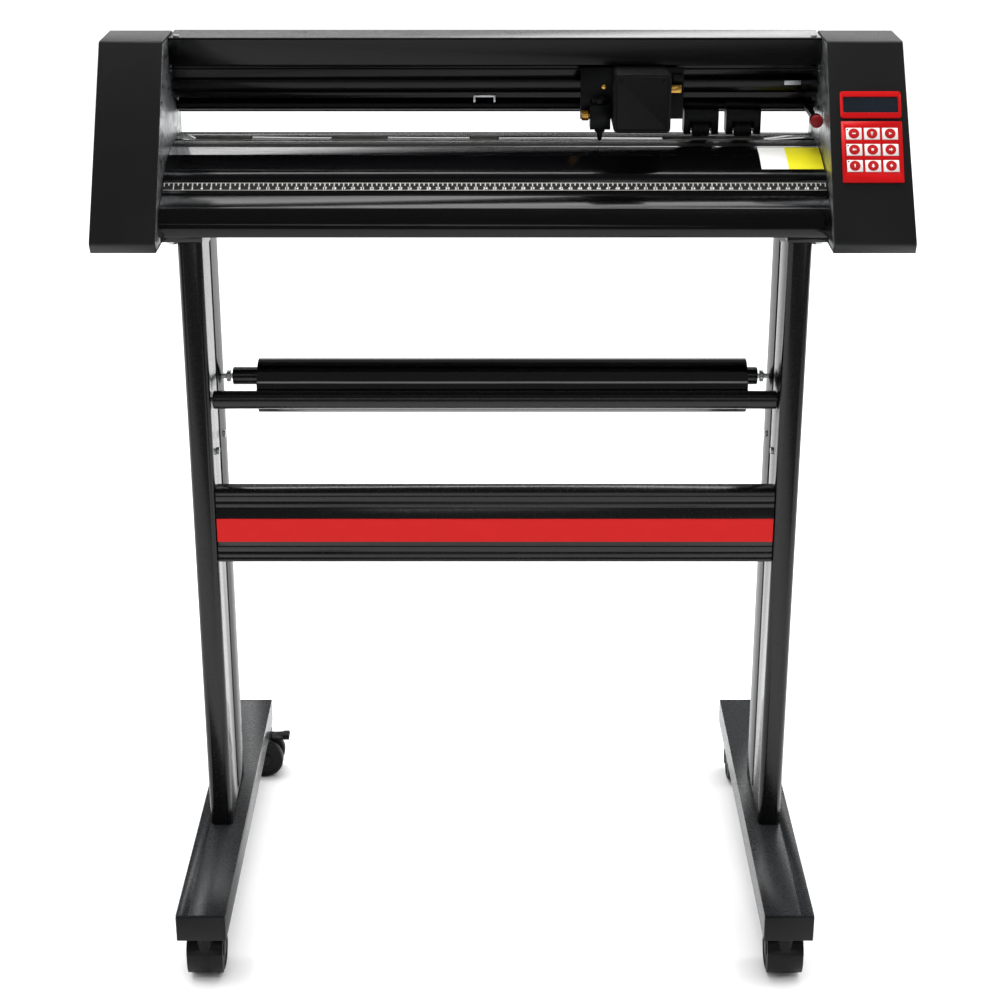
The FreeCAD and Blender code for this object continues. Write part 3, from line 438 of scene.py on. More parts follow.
def lathe(outline, centre, axis="Z", steps=48, aim=None):
    """A solid of revolution; outline is (radius, height) pairs in mm, closed on itself or on the axis."""
    work = bmesh.new()
    rings = []
    for radius, height in outline:
        if radius == 0:
            rings.append([work.verts.new((0, 0, mm(height)))])
            continue
        turns = [math.tau * step / steps for step in range(steps)]
        rings.append([work.verts.new((mm(radius) * math.cos(t), mm(radius) * math.sin(t), mm(height)))
                      for t in turns])
    pairs = list(zip(rings, rings[1:]))
    if len(rings[0]) > 1:
        pairs.append((rings[-1], rings[0]))
    for lower, upper in pairs:
        for step in range(steps):
            after = (step + 1) % steps
            corners = [lower[step % len(lower)], lower[after % len(lower)],
                       upper[after % len(upper)], upper[step % len(upper)]]
            unique = [corner for place, corner in enumerate(corners) if corner not in corners[:place]]
            if len(unique) > 2:
                work.faces.new(unique)
    bmesh.ops.recalc_face_normals(work, faces=work.faces)
    turn = aim.to_track_quat("Z", "Y").to_matrix() if aim else TURN[axis]
    bmesh.ops.transform(work, matrix=Matrix.Translation(centre) @ turn.to_4x4(), verts=work.verts)
    return to_mesh(work, "turned")


def centre_of(node):
    low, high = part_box(node)
    return (low + high) / 2


print("lathe ready")

# %% [markdown]
# What repeats is made by Geometry Nodes.  Two small trees do nearly all of it.  The first sets copies of a
# block along a line: ruler ticks, vent slots, pedal ribs.  The second sets them round a circle: knurling and
# gear teeth.  Each ends in Realize Instances, so that the result is real faces, and in Set Material.

# %% Geometry Nodes: copies in a row, and copies in a ring
def new_tree(name, inputs):
    """A geometry tree with named inputs; returns it with its input and output nodes."""
    tree = bpy.data.node_groups.new(name, "GeometryNodeTree")
    for label, kind in inputs:
        tree.interface.new_socket(label, in_out="INPUT", socket_type=kind)
    tree.interface.new_socket("Geometry", in_out="OUTPUT", socket_type="NodeSocketGeometry")
    return tree, add(tree, "NodeGroupInput").outputs


def end_tree(tree, instances, material):
    real = add(tree, "GeometryNodeRealizeInstances", {"Geometry": instances})
    made = add(tree, "GeometryNodeSetMaterial", {"Geometry": real.outputs["Geometry"], "Material": material})
    add(tree, "NodeGroupOutput", {"Geometry": made.outputs["Geometry"]})
    return tree


def row_tree():
    tree, given = new_tree("blocks_in_a_row", [
        ("Count", "NodeSocketInt"), ("Start", "NodeSocketVector"), ("Step", "NodeSocketVector"),
        ("Block", "NodeSocketVector"), ("Material", "NodeSocketMaterial")])
    line = add(tree, "GeometryNodeMeshLine", {
        "Count": given["Count"], "Start Location": given["Start"], "Offset": given["Step"]}, mode="OFFSET")
    block = add(tree, "GeometryNodeMeshCube", {"Size": given["Block"]})
    copies = add(tree, "GeometryNodeInstanceOnPoints", {
        "Points": line.outputs["Mesh"], "Instance": block.outputs["Mesh"]})
    return end_tree(tree, copies.outputs["Instances"], given["Material"])


def ring_tree():
    tree, given = new_tree("blocks_in_a_ring", [
        ("Count", "NodeSocketInt"), ("Radius", "NodeSocketFloat"), ("Block", "NodeSocketVector"),
        ("Material", "NodeSocketMaterial")])
    circle = add(tree, "GeometryNodeMeshCircle", {"Vertices": given["Count"], "Radius": given["Radius"]})
    block = add(tree, "GeometryNodeMeshCube", {"Size": given["Block"]})
    outwards = add(tree, "GeometryNodeInputPosition")
    facing = add(tree, "FunctionNodeAlignRotationToVector", {
        "Vector": outwards.outputs["Position"]}, axis="X")
    copies = add(tree, "GeometryNodeInstanceOnPoints", {
        "Points": circle.outputs["Mesh"], "Instance": block.outputs["Mesh"],
        "Rotation": facing.outputs["Rotation"]})
    return end_tree(tree, copies.outputs["Instances"], given["Material"])


ROW = row_tree()
RING = ring_tree()


def grown(tree, seats=None, **values):
    """The plain mesh that a tree makes with these inputs, on the points of a seats mesh if it asks for one."""
    thing = placed("grown", bpy.data.meshes.new("grown") if seats is None else seats)
    modifier = thing.modifiers.new("grow", "NODES")
    modifier.node_group = tree
    for socket in tree.interface.items_tree:
        if socket.in_out == "INPUT" and socket.name in values:
            modifier[socket.identifier] = values[socket.name]
    return evaluated(thing)


def joined(*parts):
    """One mesh from several.  Each part is a mesh, or a mesh and the matrix that places it."""
    work = bmesh.new()
    for part in parts:
        mesh, matrix = part if isinstance(part, tuple) else (part, Matrix.Identity(4))
        mesh.transform(matrix)
        work.from_mesh(mesh)
    return to_mesh(work, "joined")


print(ROW.name, RING.name)

# %% [markdown]
# Screws repeat all over the machine.  A third tree builds one cap screw, a disc with its edge cut by a hex
# socket, and sets it on every point of a small mesh, turned so that its head faces the way we ask.

# %% Geometry Nodes: socket screws on points
def screw_tree():
    tree, given = new_tree("socket_screws", [
        ("Points", "NodeSocketGeometry"), ("Radius", "NodeSocketFloat"), ("Height", "NodeSocketFloat"),
        ("Facing", "NodeSocketVector"), ("Material", "NodeSocketMaterial")])
    disc = add(tree, "GeometryNodeMeshCylinder", {
        "Vertices": 28, "Radius": given["Radius"], "Depth": given["Height"]})
    key = add(tree, "ShaderNodeMath", {0: given["Radius"], 1: 0.5}, operation="MULTIPLY")
    lift = add(tree, "ShaderNodeMath", {0: given["Height"], 1: 0.6}, operation="MULTIPLY")
    raised = add(tree, "ShaderNodeCombineXYZ", {"Z": lift.outputs["Value"]})
    socket = add(tree, "GeometryNodeMeshCylinder", {
        "Vertices": 6, "Radius": key.outputs["Value"], "Depth": given["Height"]})
    placed = add(tree, "GeometryNodeTransform", {
        "Geometry": socket.outputs["Mesh"], "Translation": raised.outputs["Vector"]})
    head = add(tree, "GeometryNodeMeshBoolean", {"Mesh 1": disc.outputs["Mesh"]}, operation="DIFFERENCE")
    tree.links.new(placed.outputs["Geometry"], head.inputs["Mesh 2"])
    turned = add(tree, "FunctionNodeAlignRotationToVector", {"Vector": given["Facing"]}, axis="Z")
    copies = add(tree, "GeometryNodeInstanceOnPoints", {
        "Points": given["Points"], "Instance": head.outputs["Mesh"], "Rotation": turned.outputs["Rotation"]})
    return end_tree(tree, copies.outputs["Instances"], given["Material"])


SCREWS = screw_tree()


def screws(name, points, facing, radius, height, material, body, replaces=()):
    """Socket screws whose heads stand on the given points; radius and height are in mm."""
    out = Vector(facing).normalized()
    seats = bpy.data.meshes.new("seats")
    seats.from_pydata([Vector(point) + out * mm(height / 2) for point in points], [], [])
    mesh = grown(SCREWS, seats, Radius=mm(radius), Height=mm(height), Facing=out, Material=material)
    mesh = applied(mesh, edge_bevel(min(height, radius) * 0.12, 1))
    return finish_piece(name, mesh, material, body, replaces=replaces)


ROOT = BODY_OF["left_post"]
print("screw tree ready; the machine's fixed parts ride on", ROOT)

# %% [markdown]
# The stand first.  Posts and stretcher are satin black extrusions, the foot rails a lighter graphite grey.
# Their copies get a small round on each edge.  The posts already have round noses from the die.

# %% Posts, rails and stretcher
for node in ("left_post", "right_post"):
    soften(node, STAND_COAT, 0.5)
CAP_THICK = mm(3)
for node in ("left_base_rail", "right_base_rail"):
    rail = merged(node)
    rail_low, rail_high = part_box(node)
    for vert in rail.verts:
        vert.co.y = max(rail_low.y + CAP_THICK, min(rail_high.y - CAP_THICK, vert.co.y))
    mesh = applied(to_mesh(rail, node), edge_bevel(0.8, 2))
    finish_piece(node + "_shell", mesh, RAIL_COAT, ROOT, replaces=(node,))
soften("stretcher", STAND_COAT, 0.35)
soften("mount_plates", STAND_COAT, 0.6)
soften("castor_stems", ZINC, 0.5)
print("stand dressed")

# %% [markdown]
# Each rail is closed by a moulded cap that covers its whole end, 3 mm thick, with well rounded corners.  The
# rail's copy above was made 3 mm shorter at both ends, so that rail and cap together keep the true length.

# %% Rail end caps
def slab(low, high, width=0.0, segments=2):
    """A block between two corners, with rounded edges."""
    work = bmesh.new()
    bmesh.ops.create_cube(work, size=1)
    size = Vector(high) - Vector(low)
    bmesh.ops.scale(work, vec=size, verts=work.verts)
    bmesh.ops.translate(work, vec=(Vector(low) + Vector(high)) / 2, verts=work.verts)
    mesh = to_mesh(work, "slab")
    return applied(mesh, edge_bevel(width, segments)) if width else mesh


caps = []
for node in ("left_base_rail", "right_base_rail"):
    low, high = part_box(node)
    for start in (low.y, high.y - CAP_THICK):
        caps.append(slab((low.x, start, low.z), (high.x, start + CAP_THICK, high.z), 1.4, 4))
finish_piece("rail_caps", joined(*caps), HOOD_NYLON, ROOT, replaces=("rail_end_plugs",))
print(len(caps), "rail caps")

# %% [markdown]
# The stretcher carries one broad red stripe of adhesive film.  It is only a quarter of a millimetre thick,
# but a real edge there gives the thin dark line that paint would not.

# %% Red stripe
STRIPE_TALL = mm(27.5)
STRIPE_FILM = mm(0.25)
low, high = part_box("stretcher")
stripe_middle = low.z * 0.55 + high.z * 0.45
stripe = slab((low.x, low.y - STRIPE_FILM, stripe_middle - STRIPE_TALL / 2),
              (high.x, low.y + mm(0.05), stripe_middle + STRIPE_TALL / 2), 0.08, 1)
finish_piece("red_stripe", stripe, RED_STRIPE, ROOT)
print("stripe from", round(stripe_middle - STRIPE_TALL / 2, 3), "up")

# %% [markdown]
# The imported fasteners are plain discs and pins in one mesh.  To dress each of them we need to know where it
# is, so this function takes the mesh apart: it starts at any corner and walks along the edges until nothing
# new is reached, and that is one solid.

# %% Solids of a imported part
def loose_boxes(node):
    """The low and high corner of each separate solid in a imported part."""
    work = merged(node)
    found = []
    waiting = set(work.verts)
    while waiting:
        reached = {next(iter(waiting))}
        front = set(reached)
        while front:
            front = {link.other_vert(vert) for vert in front for link in vert.link_edges} - reached
            reached |= front
        waiting -= reached
        found.append((Vector([min(v.co[axis] for v in reached) for axis in range(3)]),
                      Vector([max(v.co[axis] for v in reached) for axis in range(3)])))
    work.free()
    return found


print(len(loose_boxes("stand_fasteners")), "stand fasteners")

# %% [markdown]
# A flat disc that lies level is a bolt under the mounting plate and gets a socket screw that faces down.  A
# long pin along the machine is a roller's pivot, a turned pin, and the rear ones have a cone nut.  What is
# left are screws in the sides of the posts, and they face away from the post.

# %% Stand fasteners
def pivot_pin(low, high, inward, with_nut):
    """A turned pivot: a pin, and on the rear rollers a cone nut against the post."""
    long = (high.x - low.x) * 1000
    middle = (low + high) / 2
    root = Vector((low.x if inward > 0 else high.x, middle.y, middle.z))
    pin = [(0, 0), (2.98, 0), (2.98, long - 0.8), (2.2, long), (0, long)]
    nut = [(0, 0), (2.98, 0), (2.98, 5.2), (3.4, 5.3), (6.9, 6.4), (6.9, 9.8), (6.2, 10.4), (2.98, 10.5),
           (2.98, long - 0.8), (2.2, long), (0, long)]
    return lathe(nut if with_nut else pin, root, aim=Vector((inward, 0, 0)), steps=32)


seats = {}
pivots = []
for low, high in loose_boxes("stand_fasteners"):
    size, middle = high - low, (low + high) / 2
    side = 1 if middle.x > MIDDLE_X else -1
    post_low, post_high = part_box("right_post" if side > 0 else "left_post")
    if size.z < size.x and size.z < size.y - mm(0.5):
        seats.setdefault((0, 0, -1, 6.0, 6.8), []).append((middle.x, middle.y, high.z - mm(0.1)))
    elif size.x > mm(8):
        pivots.append(pivot_pin(low, high, -side, size.y > mm(8)))
    else:
        out = 1 if middle.x > (post_low.x + post_high.x) / 2 else -1
        start = low.x if out > 0 else high.x
        seats.setdefault((out, 0, 0, size.y * 500, 2.9), []).append((start, middle.y, middle.z))
finish_piece("roller_pivots", joined(*pivots), ZINC, ROOT, replaces=("stand_fasteners",))
for number, ((x, y, z, radius, height), points) in enumerate(sorted(seats.items())):
    screws(f"stand_screws_{number}", points, (x, y, z), radius, height, ZINC, ROOT)
print(len(pivots), "pivots and", sum(map(len, seats.values())), "screws")

# %% [markdown]
# Two plain tubes turn on those pivots and hold the roll.  They are powder coated like the stand, with a
# small round at the mouth, and a pressed-in plug at each end.

# %% Media rollers
def tube(node, material, plug_material):
    low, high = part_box(node)
    radius, long = (high.z - low.z) * 500, (high.x - low.x) * 1000
    middle = (low + high) / 2
    start = Vector((low.x, middle.y, middle.z))
    mouth = [(radius - 1.6, 1.2), (radius - 1.5, 0.3), (radius - 0.9, 0), (radius, 0.8)]
    outline = mouth + [(across, long - along) for across, along in reversed(mouth)]
    finish_piece(node + "_tube", lathe(outline, start, "X", 56), material, BODY_OF[node],
                 replaces=(node,))
    plugs = []
    for inner, outer in ((0.9, 11), (long - 0.9, long - 11)):
        ring = [(3.1, inner), (radius - 1.7, inner), (radius - 1.7, outer), (3.1, outer)]
        plugs.append(lathe(ring, start, "X", 40))
    finish_piece(node + "_plugs", joined(*plugs), plug_material, BODY_OF[node])
    return long


print("rollers", [round(tube(node, STAND_COAT, HOOD_NYLON)) for node in ("front_roller", "rear_roller")], "mm")

# %% [markdown]
# The roll itself follows a rule: film wound on a card core is a spiral.  Its outside is a circle whose
# radius shrinks by one film thickness in a turn, so the loose end stands up as one fine straight step.  The
# end faces get shallow rings, because layers never line up exactly.

# %% Roll of film
def film_roll(node, film_step=0.45, steps=180):
    """The winding on its core; film_step is the height of the loose end's step in mm."""
    low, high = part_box(node)
    radius, long = (high.z - low.z) * 500, (high.x - low.x) * 1000
    middle = (low + high) / 2
    core = 22.6
    rings = [(core, 1.6)]
    for layer in range(9):
        share = core + (radius - 0.6 - core) * (layer + 0.5) / 9
        rings.append((share, 1.0 + 0.5 * (layer % 2) + 0.25 * math.sin(2.7 * layer)))
    rings += [(radius - 0.5, 1.0), (radius, 1.5)]
    outline = rings + [(r, long - depth) for r, depth in reversed(rings)]
    mesh = lathe(outline, Vector((low.x, middle.y, middle.z)), "X", steps)
    for vertex in mesh.vertices:
        y, z = vertex.co.y - middle.y, vertex.co.z - middle.z
        turn = (math.atan2(z, -y) - math.radians(150)) % math.tau / math.tau
        if math.hypot(y, z) > mm(radius - 1):
            shrink = 1 - film_step * turn / radius
            vertex.co.y, vertex.co.z = middle.y + y * shrink, middle.z + z * shrink
    roll = finish_piece("film_winding", mesh, FILM, BODY_OF[node], smooth=25, replaces=(node,))
    tube_wall = [(20.1, 0), (22.5, 0), (22.5, long), (20.1, long)]
    card = lathe(tube_wall, Vector((low.x, middle.y, middle.z)), "X", 72)
    finish_piece("card_core", card, CARD, BODY_OF[node])
    return roll


print(film_roll("media_roll").name, "wound")

# %% [markdown]
# A twin-wheel castor has two narrow wheels under a moulded hood.  The wheels are turned shapes: a crowned
# tread, a recessed face and a hub cap.  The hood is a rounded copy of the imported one.

# %% Castor wheels and hoods
def castor_wheels(node, steps=64):
    """Both wheels and their axle; the axle's direction is the thin side of the box."""
    low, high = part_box(node)
    middle = (low + high) / 2
    axis = Vector((1, 0, 0)) if high.x - low.x < high.y - low.y else Vector((0, 1, 0))
    wide = (high - low).dot(axis) * 500
    radius, inner = (high.z - low.z) * 500, wide - 13
    parts = []
    for side in (-1, 1):
        wheel = [(0, inner), (radius - 3, inner), (radius - 0.8, inner + 0.6), (radius, inner + 2.4),
                 (radius, wide - 2.4), (radius - 0.8, wide - 0.7), (radius - 2.4, wide - 0.2),
                 (radius - 4.5, wide - 0.2), (radius - 5.5, wide - 1.4), (9.5, wide - 2.2), (8.6, wide - 0.5),
                 (7.4, wide), (0, wide)]
        parts.append(lathe(wheel, middle, aim=axis * side, steps=steps))
    axle = [(0, -inner), (2.95, -inner), (2.95, inner), (0, inner)]
    parts.append(lathe(axle, middle, aim=axis, steps=24))
    finish_piece(node + "_turned", joined(*parts), TREAD, BODY_OF[node], replaces=(node,))


CORNERS = ("front_left", "front_right", "rear_left", "rear_right")
for corner in CORNERS:
    castor_wheels("castor_wheels_" + corner)
    soften("castor_hood_" + corner, HOOD_NYLON, 1.1, 3)
print(len(CORNERS), "castors")

# %% [markdown]
# The front of each castor is closed by a fender, a curved band that follows both wheels from low at the floor
# up to the hood.  It is a rectangle swept round the axle, one ring of four corners at each step.

# %% Castor fenders
def fender(corner, start=-38, end=62, steps=20):
    """A curved band in front of both wheels, from low at the floor to the top of the hood."""
    low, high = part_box("castor_wheels_" + corner)
    middle, stem = (low + high) / 2, centre_of("castor_hood_" + corner)
    lengthways = Vector((0, 1, 0)) if high.x - low.x < high.y - low.y else Vector((1, 0, 0))
    forward = lengthways if (stem - middle).dot(lengthways) > 0 else -lengthways
    across = Vector((0, 0, 1)).cross(forward)
    radius, half = (high.z - low.z) / 2, abs((high - low).dot(across)) / 2 + mm(0.5)
    work = bmesh.new()
    rings = []
    for step in range(steps + 1):
        turn = math.radians(start + (end - start) * step / steps)
        out = forward * math.cos(turn) + Vector((0, 0, math.sin(turn)))
        rings.append([work.verts.new(middle + out * reach + across * side) for reach, side in (
            (radius + mm(1.3), -half), (radius + mm(3.9), -half), (radius + mm(3.9), half),
            (radius + mm(1.3), half))])
    for lower, upper in zip(rings, rings[1:]):
        for corner_number in range(4):
            after = (corner_number + 1) % 4
            work.faces.new((lower[corner_number], lower[after], upper[after], upper[corner_number]))
    work.faces.new(rings[0])
    work.faces.new(rings[-1])
    bmesh.ops.recalc_face_normals(work, faces=work.faces)
    return applied(to_mesh(work, "fender"), edge_bevel(1.1, 3))


for corner in CORNERS:
    node = "castor_hood_" + corner
    finish_piece("castor_fender_" + corner, fender(corner), HOOD_NYLON, BODY_OF[node])
print("fenders set")

# %% [markdown]
# The two rear castors have a foot pedal with three ribs for the sole of a shoe, which the row tree sets near
# the pedal's tip.

# %% Brake pedals
for corner in CORNERS[2:]:
    node = "castor_brake_" + corner
    soften(node, HOOD_NYLON, 0.7)
    low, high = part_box(node)
    out = Vector((0, 1, 0)) if high.x - low.x < high.y - low.y else Vector((1, 0, 0))
    hood = centre_of("castor_hood_" + corner)
    away = 1 if (centre_of(node) - hood).dot(out) > 0 else -1
    tip = centre_of(node) + out * away * mm(6.5)
    across = Vector((out.y, out.x, 0))
    block = out * mm(1.2) + across * mm(11) + Vector((0, 0, mm(0.8)))
    start = Vector((tip.x, tip.y, high.z - mm(0.45)))
    ribs = grown(ROW, Count=3, Start=start, Step=-out * away * mm(2.4), Block=block, Material=HOOD_NYLON)
    finish_piece(node + "_ribs", ribs, HOOD_NYLON, BODY_OF[node])
print("pedals ribbed")

# %% [markdown]
# The head's two end casings are rounded copies in textured ABS.  In the back of each one is a louvre of vent
# slots for the motors and the supply: the row tree makes the cutters and a Boolean modifier takes them out.

# %% End casings with vents
VENT_SLOT, VENT_PITCH, VENT_HIGH = (mm(2.4), mm(14), mm(26)), mm(6), mm(98)


def vented(node, along, slots=7):
    """A casing copy with a row of upright vent slots through its back wall."""
    low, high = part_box(node)
    start = (along - VENT_PITCH * (slots - 1) / 2, high.y, low.z + VENT_HIGH)
    tool = placed("cutters", grown(ROW, Count=slots, Start=start, Step=(VENT_PITCH, 0, 0), Block=VENT_SLOT,
                                   Material=CASING_ABS))
    step = ("BOOLEAN", {"operation": "DIFFERENCE", "object": tool, "solver": "EXACT"})
    piece = soften(node, CASING_ABS, 1.1, 3, extra=(step,))
    bpy.data.objects.remove(tool)
    return piece


left_low, left_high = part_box("left_end_cap")
right_low, right_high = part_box("right_end_cap")
print(len(vented("left_end_cap", left_low.x * 0.45 + left_high.x * 0.55).data.polygons), "faces left")
print(len(vented("right_end_cap", right_low.x * 0.55 + right_high.x * 0.45).data.polygons), "faces right")

# %% [markdown]
# Casings are held from behind with black socket screws, four to each, set in from the corners.

# %% Casing screws
SCREW_INSET, SCREW_LOW, SCREW_HIGH = mm(22), mm(14), mm(150)
for node, name in (("left_end_cap", "left_cap_screws"), ("right_end_cap", "right_cap_screws")):
    low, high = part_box(node)
    points = [(x, high.y - mm(0.05), z) for x in (low.x + SCREW_INSET, high.x - SCREW_INSET)
              for z in (low.z + SCREW_LOW, low.z + SCREW_HIGH)]
    screws(name, points, (0, 1, 0), 3.0, 1.6, BLACK_STEEL, ROOT)
print("casing screws set")

# %% [markdown]
# Beam, track, bed and frames.  All are rounded copies; the platen and cover keep the shallow ridges and the
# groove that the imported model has.  Two silver screws hold the beam at its ends, as on the real machine.

# %% Beam, track, bed and side plates
soften("top_beam", BEAM_ANODISED, 0.4)
soften("carriage_track", BEAM_ANODISED, 0.5)
soften("platen", PLATEN_ANODISED, 0.25)
soften("lower_cover", PLATEN_ANODISED, 0.5)
soften("cutting_strip", RUBBER, 0.2)
soften("end_frames", GALVANISED, 0.3)
beam_low, beam_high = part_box("top_beam")
ends = [(x, beam_low.y + mm(9), beam_high.z - mm(0.1)) for x in (beam_low.x + mm(8), beam_high.x - mm(8))]
screws("beam_screws", ends, (0, 0, 1), 3.4, 1.8, ZINC, ROOT)
print("beam and bed dressed")

# %% [markdown]
# A ruler is printed along the sloping edge in front of the platen.  We draw it flat, with X along the machine
# and Y up the slope, and lay it on the slope by one matrix.  First the matrix and the black strip.

# %% Ruler strip
cover_low, cover_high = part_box("lower_cover")
platen_low, platen_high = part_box("platen")
SLOPE_TOP = Vector((0, cover_high.y - mm(143), platen_high.z - mm(20.2)))
SLOPE_LOW = Vector((0, cover_high.y - mm(157), platen_high.z - mm(31)))
slope_up = (SLOPE_TOP - SLOPE_LOW).normalized()
slope_out = Vector((1, 0, 0)).cross(slope_up)
ruler_seat = (SLOPE_TOP * 0.46 + SLOPE_LOW * 0.54) + slope_out * mm(0.05)
LAY = Matrix.Translation(Vector((MIDDLE_X, 0, 0)) + ruler_seat) @ Matrix(
    ((1, 0, 0), tuple(slope_up), tuple(slope_out))).transposed().to_4x4()
RULER_LONG, RULER_WIDE = 700, 10.6
strip = slab((-mm(RULER_LONG / 2 + 2), -mm(RULER_WIDE / 2), 0),
             (mm(RULER_LONG / 2 + 2), mm(RULER_WIDE / 2), mm(0.25)))
strip.transform(LAY)
finish_piece("ruler_strip", strip, BLACK_INK, ROOT)
print("strip laid on a slope of", round(math.degrees(math.asin(slope_up.z))), "degrees")

# %% [markdown]
# Then the print.  Ticks are the row tree twice over, for fives and tens.  A real ruler has millimetre ticks
# too, but they are too fine to show from the camera, so they are left out and the others are drawn bolder.
# The numbers are text turned into mesh.

# %% Ruler ticks and numbers
PRINT_LEVEL = mm(0.27)


def tick_row(pitch, tall, thick):
    """Ticks that hang from the upper border of the ruler."""
    top = RULER_WIDE / 2 - 0.9
    start = (-mm(RULER_LONG / 2), mm(top - tall / 2), PRINT_LEVEL)
    return grown(ROW, Count=RULER_LONG // pitch + 1, Start=start, Step=(mm(pitch), 0, 0),
                 Block=(mm(thick), mm(tall), mm(0.08)), Material=WHITE_INK)


def ruler_number(count):
    """One number of the ruler as a flat-lying mesh, centred below its tick."""
    text = bpy.data.curves.new("number", "FONT")
    text.body = str(count)
    text.size = mm(4.8)
    text.offset = mm(0.12)
    text.align_x = "CENTER"
    text.resolution_u = 1
    text.extrude = mm(0.04)
    place = (mm(count * 10 - RULER_LONG / 2), -mm(RULER_WIDE / 2 - 1.3), PRINT_LEVEL)
    return evaluated(placed("number", text)), Matrix.Translation(place)


borders = [slab((-mm(RULER_LONG / 2 + 1), mm(level - 0.2), PRINT_LEVEL - mm(0.04)),
                (mm(RULER_LONG / 2 + 1), mm(level + 0.2), PRINT_LEVEL + mm(0.04)))
           for level in (RULER_WIDE / 2 - 0.6, -RULER_WIDE / 2 + 0.5)]
ticks = [tick_row(*sizes) for sizes in ((5, 3.2, 1.0), (10, 4.4, 1.2))]
numbers = [ruler_number(count) for count in range(1, RULER_LONG // 10)]
print_mesh = joined(*borders, *ticks, *numbers)
print_mesh.transform(LAY)
finish_piece("ruler_print", print_mesh, WHITE_INK, ROOT, smooth=0)
print("ruler of", RULER_LONG, "mm with", len(numbers), "numbers")

# %% [markdown]
# At the right end of the platen the real machine carries a small two-part label.  Ours is blank: one white
# and one yellow field of film.  It follows the curve of the platen, so it is drawn as a strip of short
# faces whose height is read from the platen's own surface by casting rays down on it.

# %% Blank label
def label_patch(name, start_x, end_x, start_y, end_y, material, columns=8, rows=14, thick=0.18):
    """A thin sheet laid on the platen between two X and two Y places."""
    shell = bpy.data.objects["platen_shell"]
    bpy.context.view_layer.update()
    work = bmesh.new()
    grid = []
    for row in range(rows + 1):
        y = start_y + (end_y - start_y) * row / rows
        line = []
        for column in range(columns + 1):
            x = start_x + (end_x - start_x) * column / columns
            hit, spot, normal, _ = shell.ray_cast(Vector((x, y, 1.2)), Vector((0, 0, -1)))
            line.append(work.verts.new(spot + normal * mm(0.04)))
        grid.append(line)
    for row in range(rows):
        for column in range(columns):
            work.faces.new((grid[row][column], grid[row][column + 1], grid[row + 1][column + 1],
                            grid[row + 1][column]))
    mesh = applied(to_mesh(work, name), ("SOLIDIFY", {"thickness": mm(thick), "offset": 1.0}))
    finish_piece(name, mesh, material, ROOT, smooth=60)


LABEL_WIDE, LABEL_SPLIT, LABEL_DEEP = mm(66.5), mm(29), mm(50)
label_x = platen_high.x - LABEL_WIDE - mm(1)
label_y = platen_high.y - mm(129)
label_patch("label_white_field", label_x, label_x + LABEL_SPLIT, label_y, label_y + LABEL_DEEP, LABEL_WHITE)
label_patch("label_yellow_field", label_x + LABEL_SPLIT, label_x + LABEL_WIDE, label_y, label_y + LABEL_DEEP,
            LABEL_YELLOW)
print("label laid at", round(label_x, 3))

# %% [markdown]
# The carriage.  Its cover is a deep moulded box with round corners, a front that is set in a little, and two
# screws in the top corners.  We bevel only the four long edges from front to back by 5 mm and inset the front
# face.  Behind the cover is a blackened steel plate, which carries a small brass block and a brass screw.

# %% Carriage cover and plate
box_low, box_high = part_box("carriage_cover")
work = merged("carriage_cover")
long_edges = [edge for edge in work.edges if abs((edge.verts[0].co - edge.verts[1].co).normalized().y) > 0.99
              and all(min(abs(vert.co.x - box_low.x), abs(vert.co.x - box_high.x)) < mm(0.1)
                      for vert in edge.verts)]
bmesh.ops.bevel(work, geom=long_edges, offset=mm(5), segments=6, profile=0.5, affect="EDGES",
                clamp_overlap=True)
front = max((face for face in work.faces if face.normal.y < -0.9), key=lambda face: face.calc_area())
bmesh.ops.inset_individual(work, faces=[front], thickness=mm(3.2), depth=0)
bmesh.ops.inset_individual(work, faces=[front], thickness=mm(0.5), depth=-mm(0.8))
cover = applied(to_mesh(work, "cover"), edge_bevel(0.45, 2, 45))
finish_piece("carriage_cover_shell", cover, COVER_ABS, "carriage",
             replaces=("carriage_cover",))
corner_seats = [(x, box_low.y + mm(0.7), box_high.z - mm(7.6)) for x in (box_low.x + mm(8), box_high.x - mm(8))]
screws("cover_screws", corner_seats, (0, -1, 0), 2.0, 0.9, BLACK_STEEL, "carriage")
soften("carriage_plate", BLACK_STEEL, 0.35)
plate_low, plate_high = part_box("carriage_plate")
block_x = box_high.x + mm(1.2)
brass_block = slab((block_x, plate_low.y - mm(6.9), box_high.z - mm(27.5)),
                   (block_x + mm(13), plate_low.y + mm(0.05), box_high.z - mm(19)), 0.7)
brass_screw = lathe([(0, 0), (3.1, 0), (3.1, 1.6), (2.6, 2.1), (0, 2.1)],
                    Vector((box_low.x - mm(8), plate_low.y + mm(0.05), box_high.z - mm(22))),
                    aim=Vector((0, -1, 0)), steps=28)
finish_piece("carriage_brass", joined(brass_block, brass_screw), BRASS, "carriage")
print("carriage dressed")

# %% [markdown]
# The blade holder is one turned piece, blackened: a nose with a small steel tip, a barrel with fine threads,
# and a wide knurled collar.  The threads are a loop that adds four points to the outline at each turn, and
# the ring tree lays the knurling, one thin block per ridge.

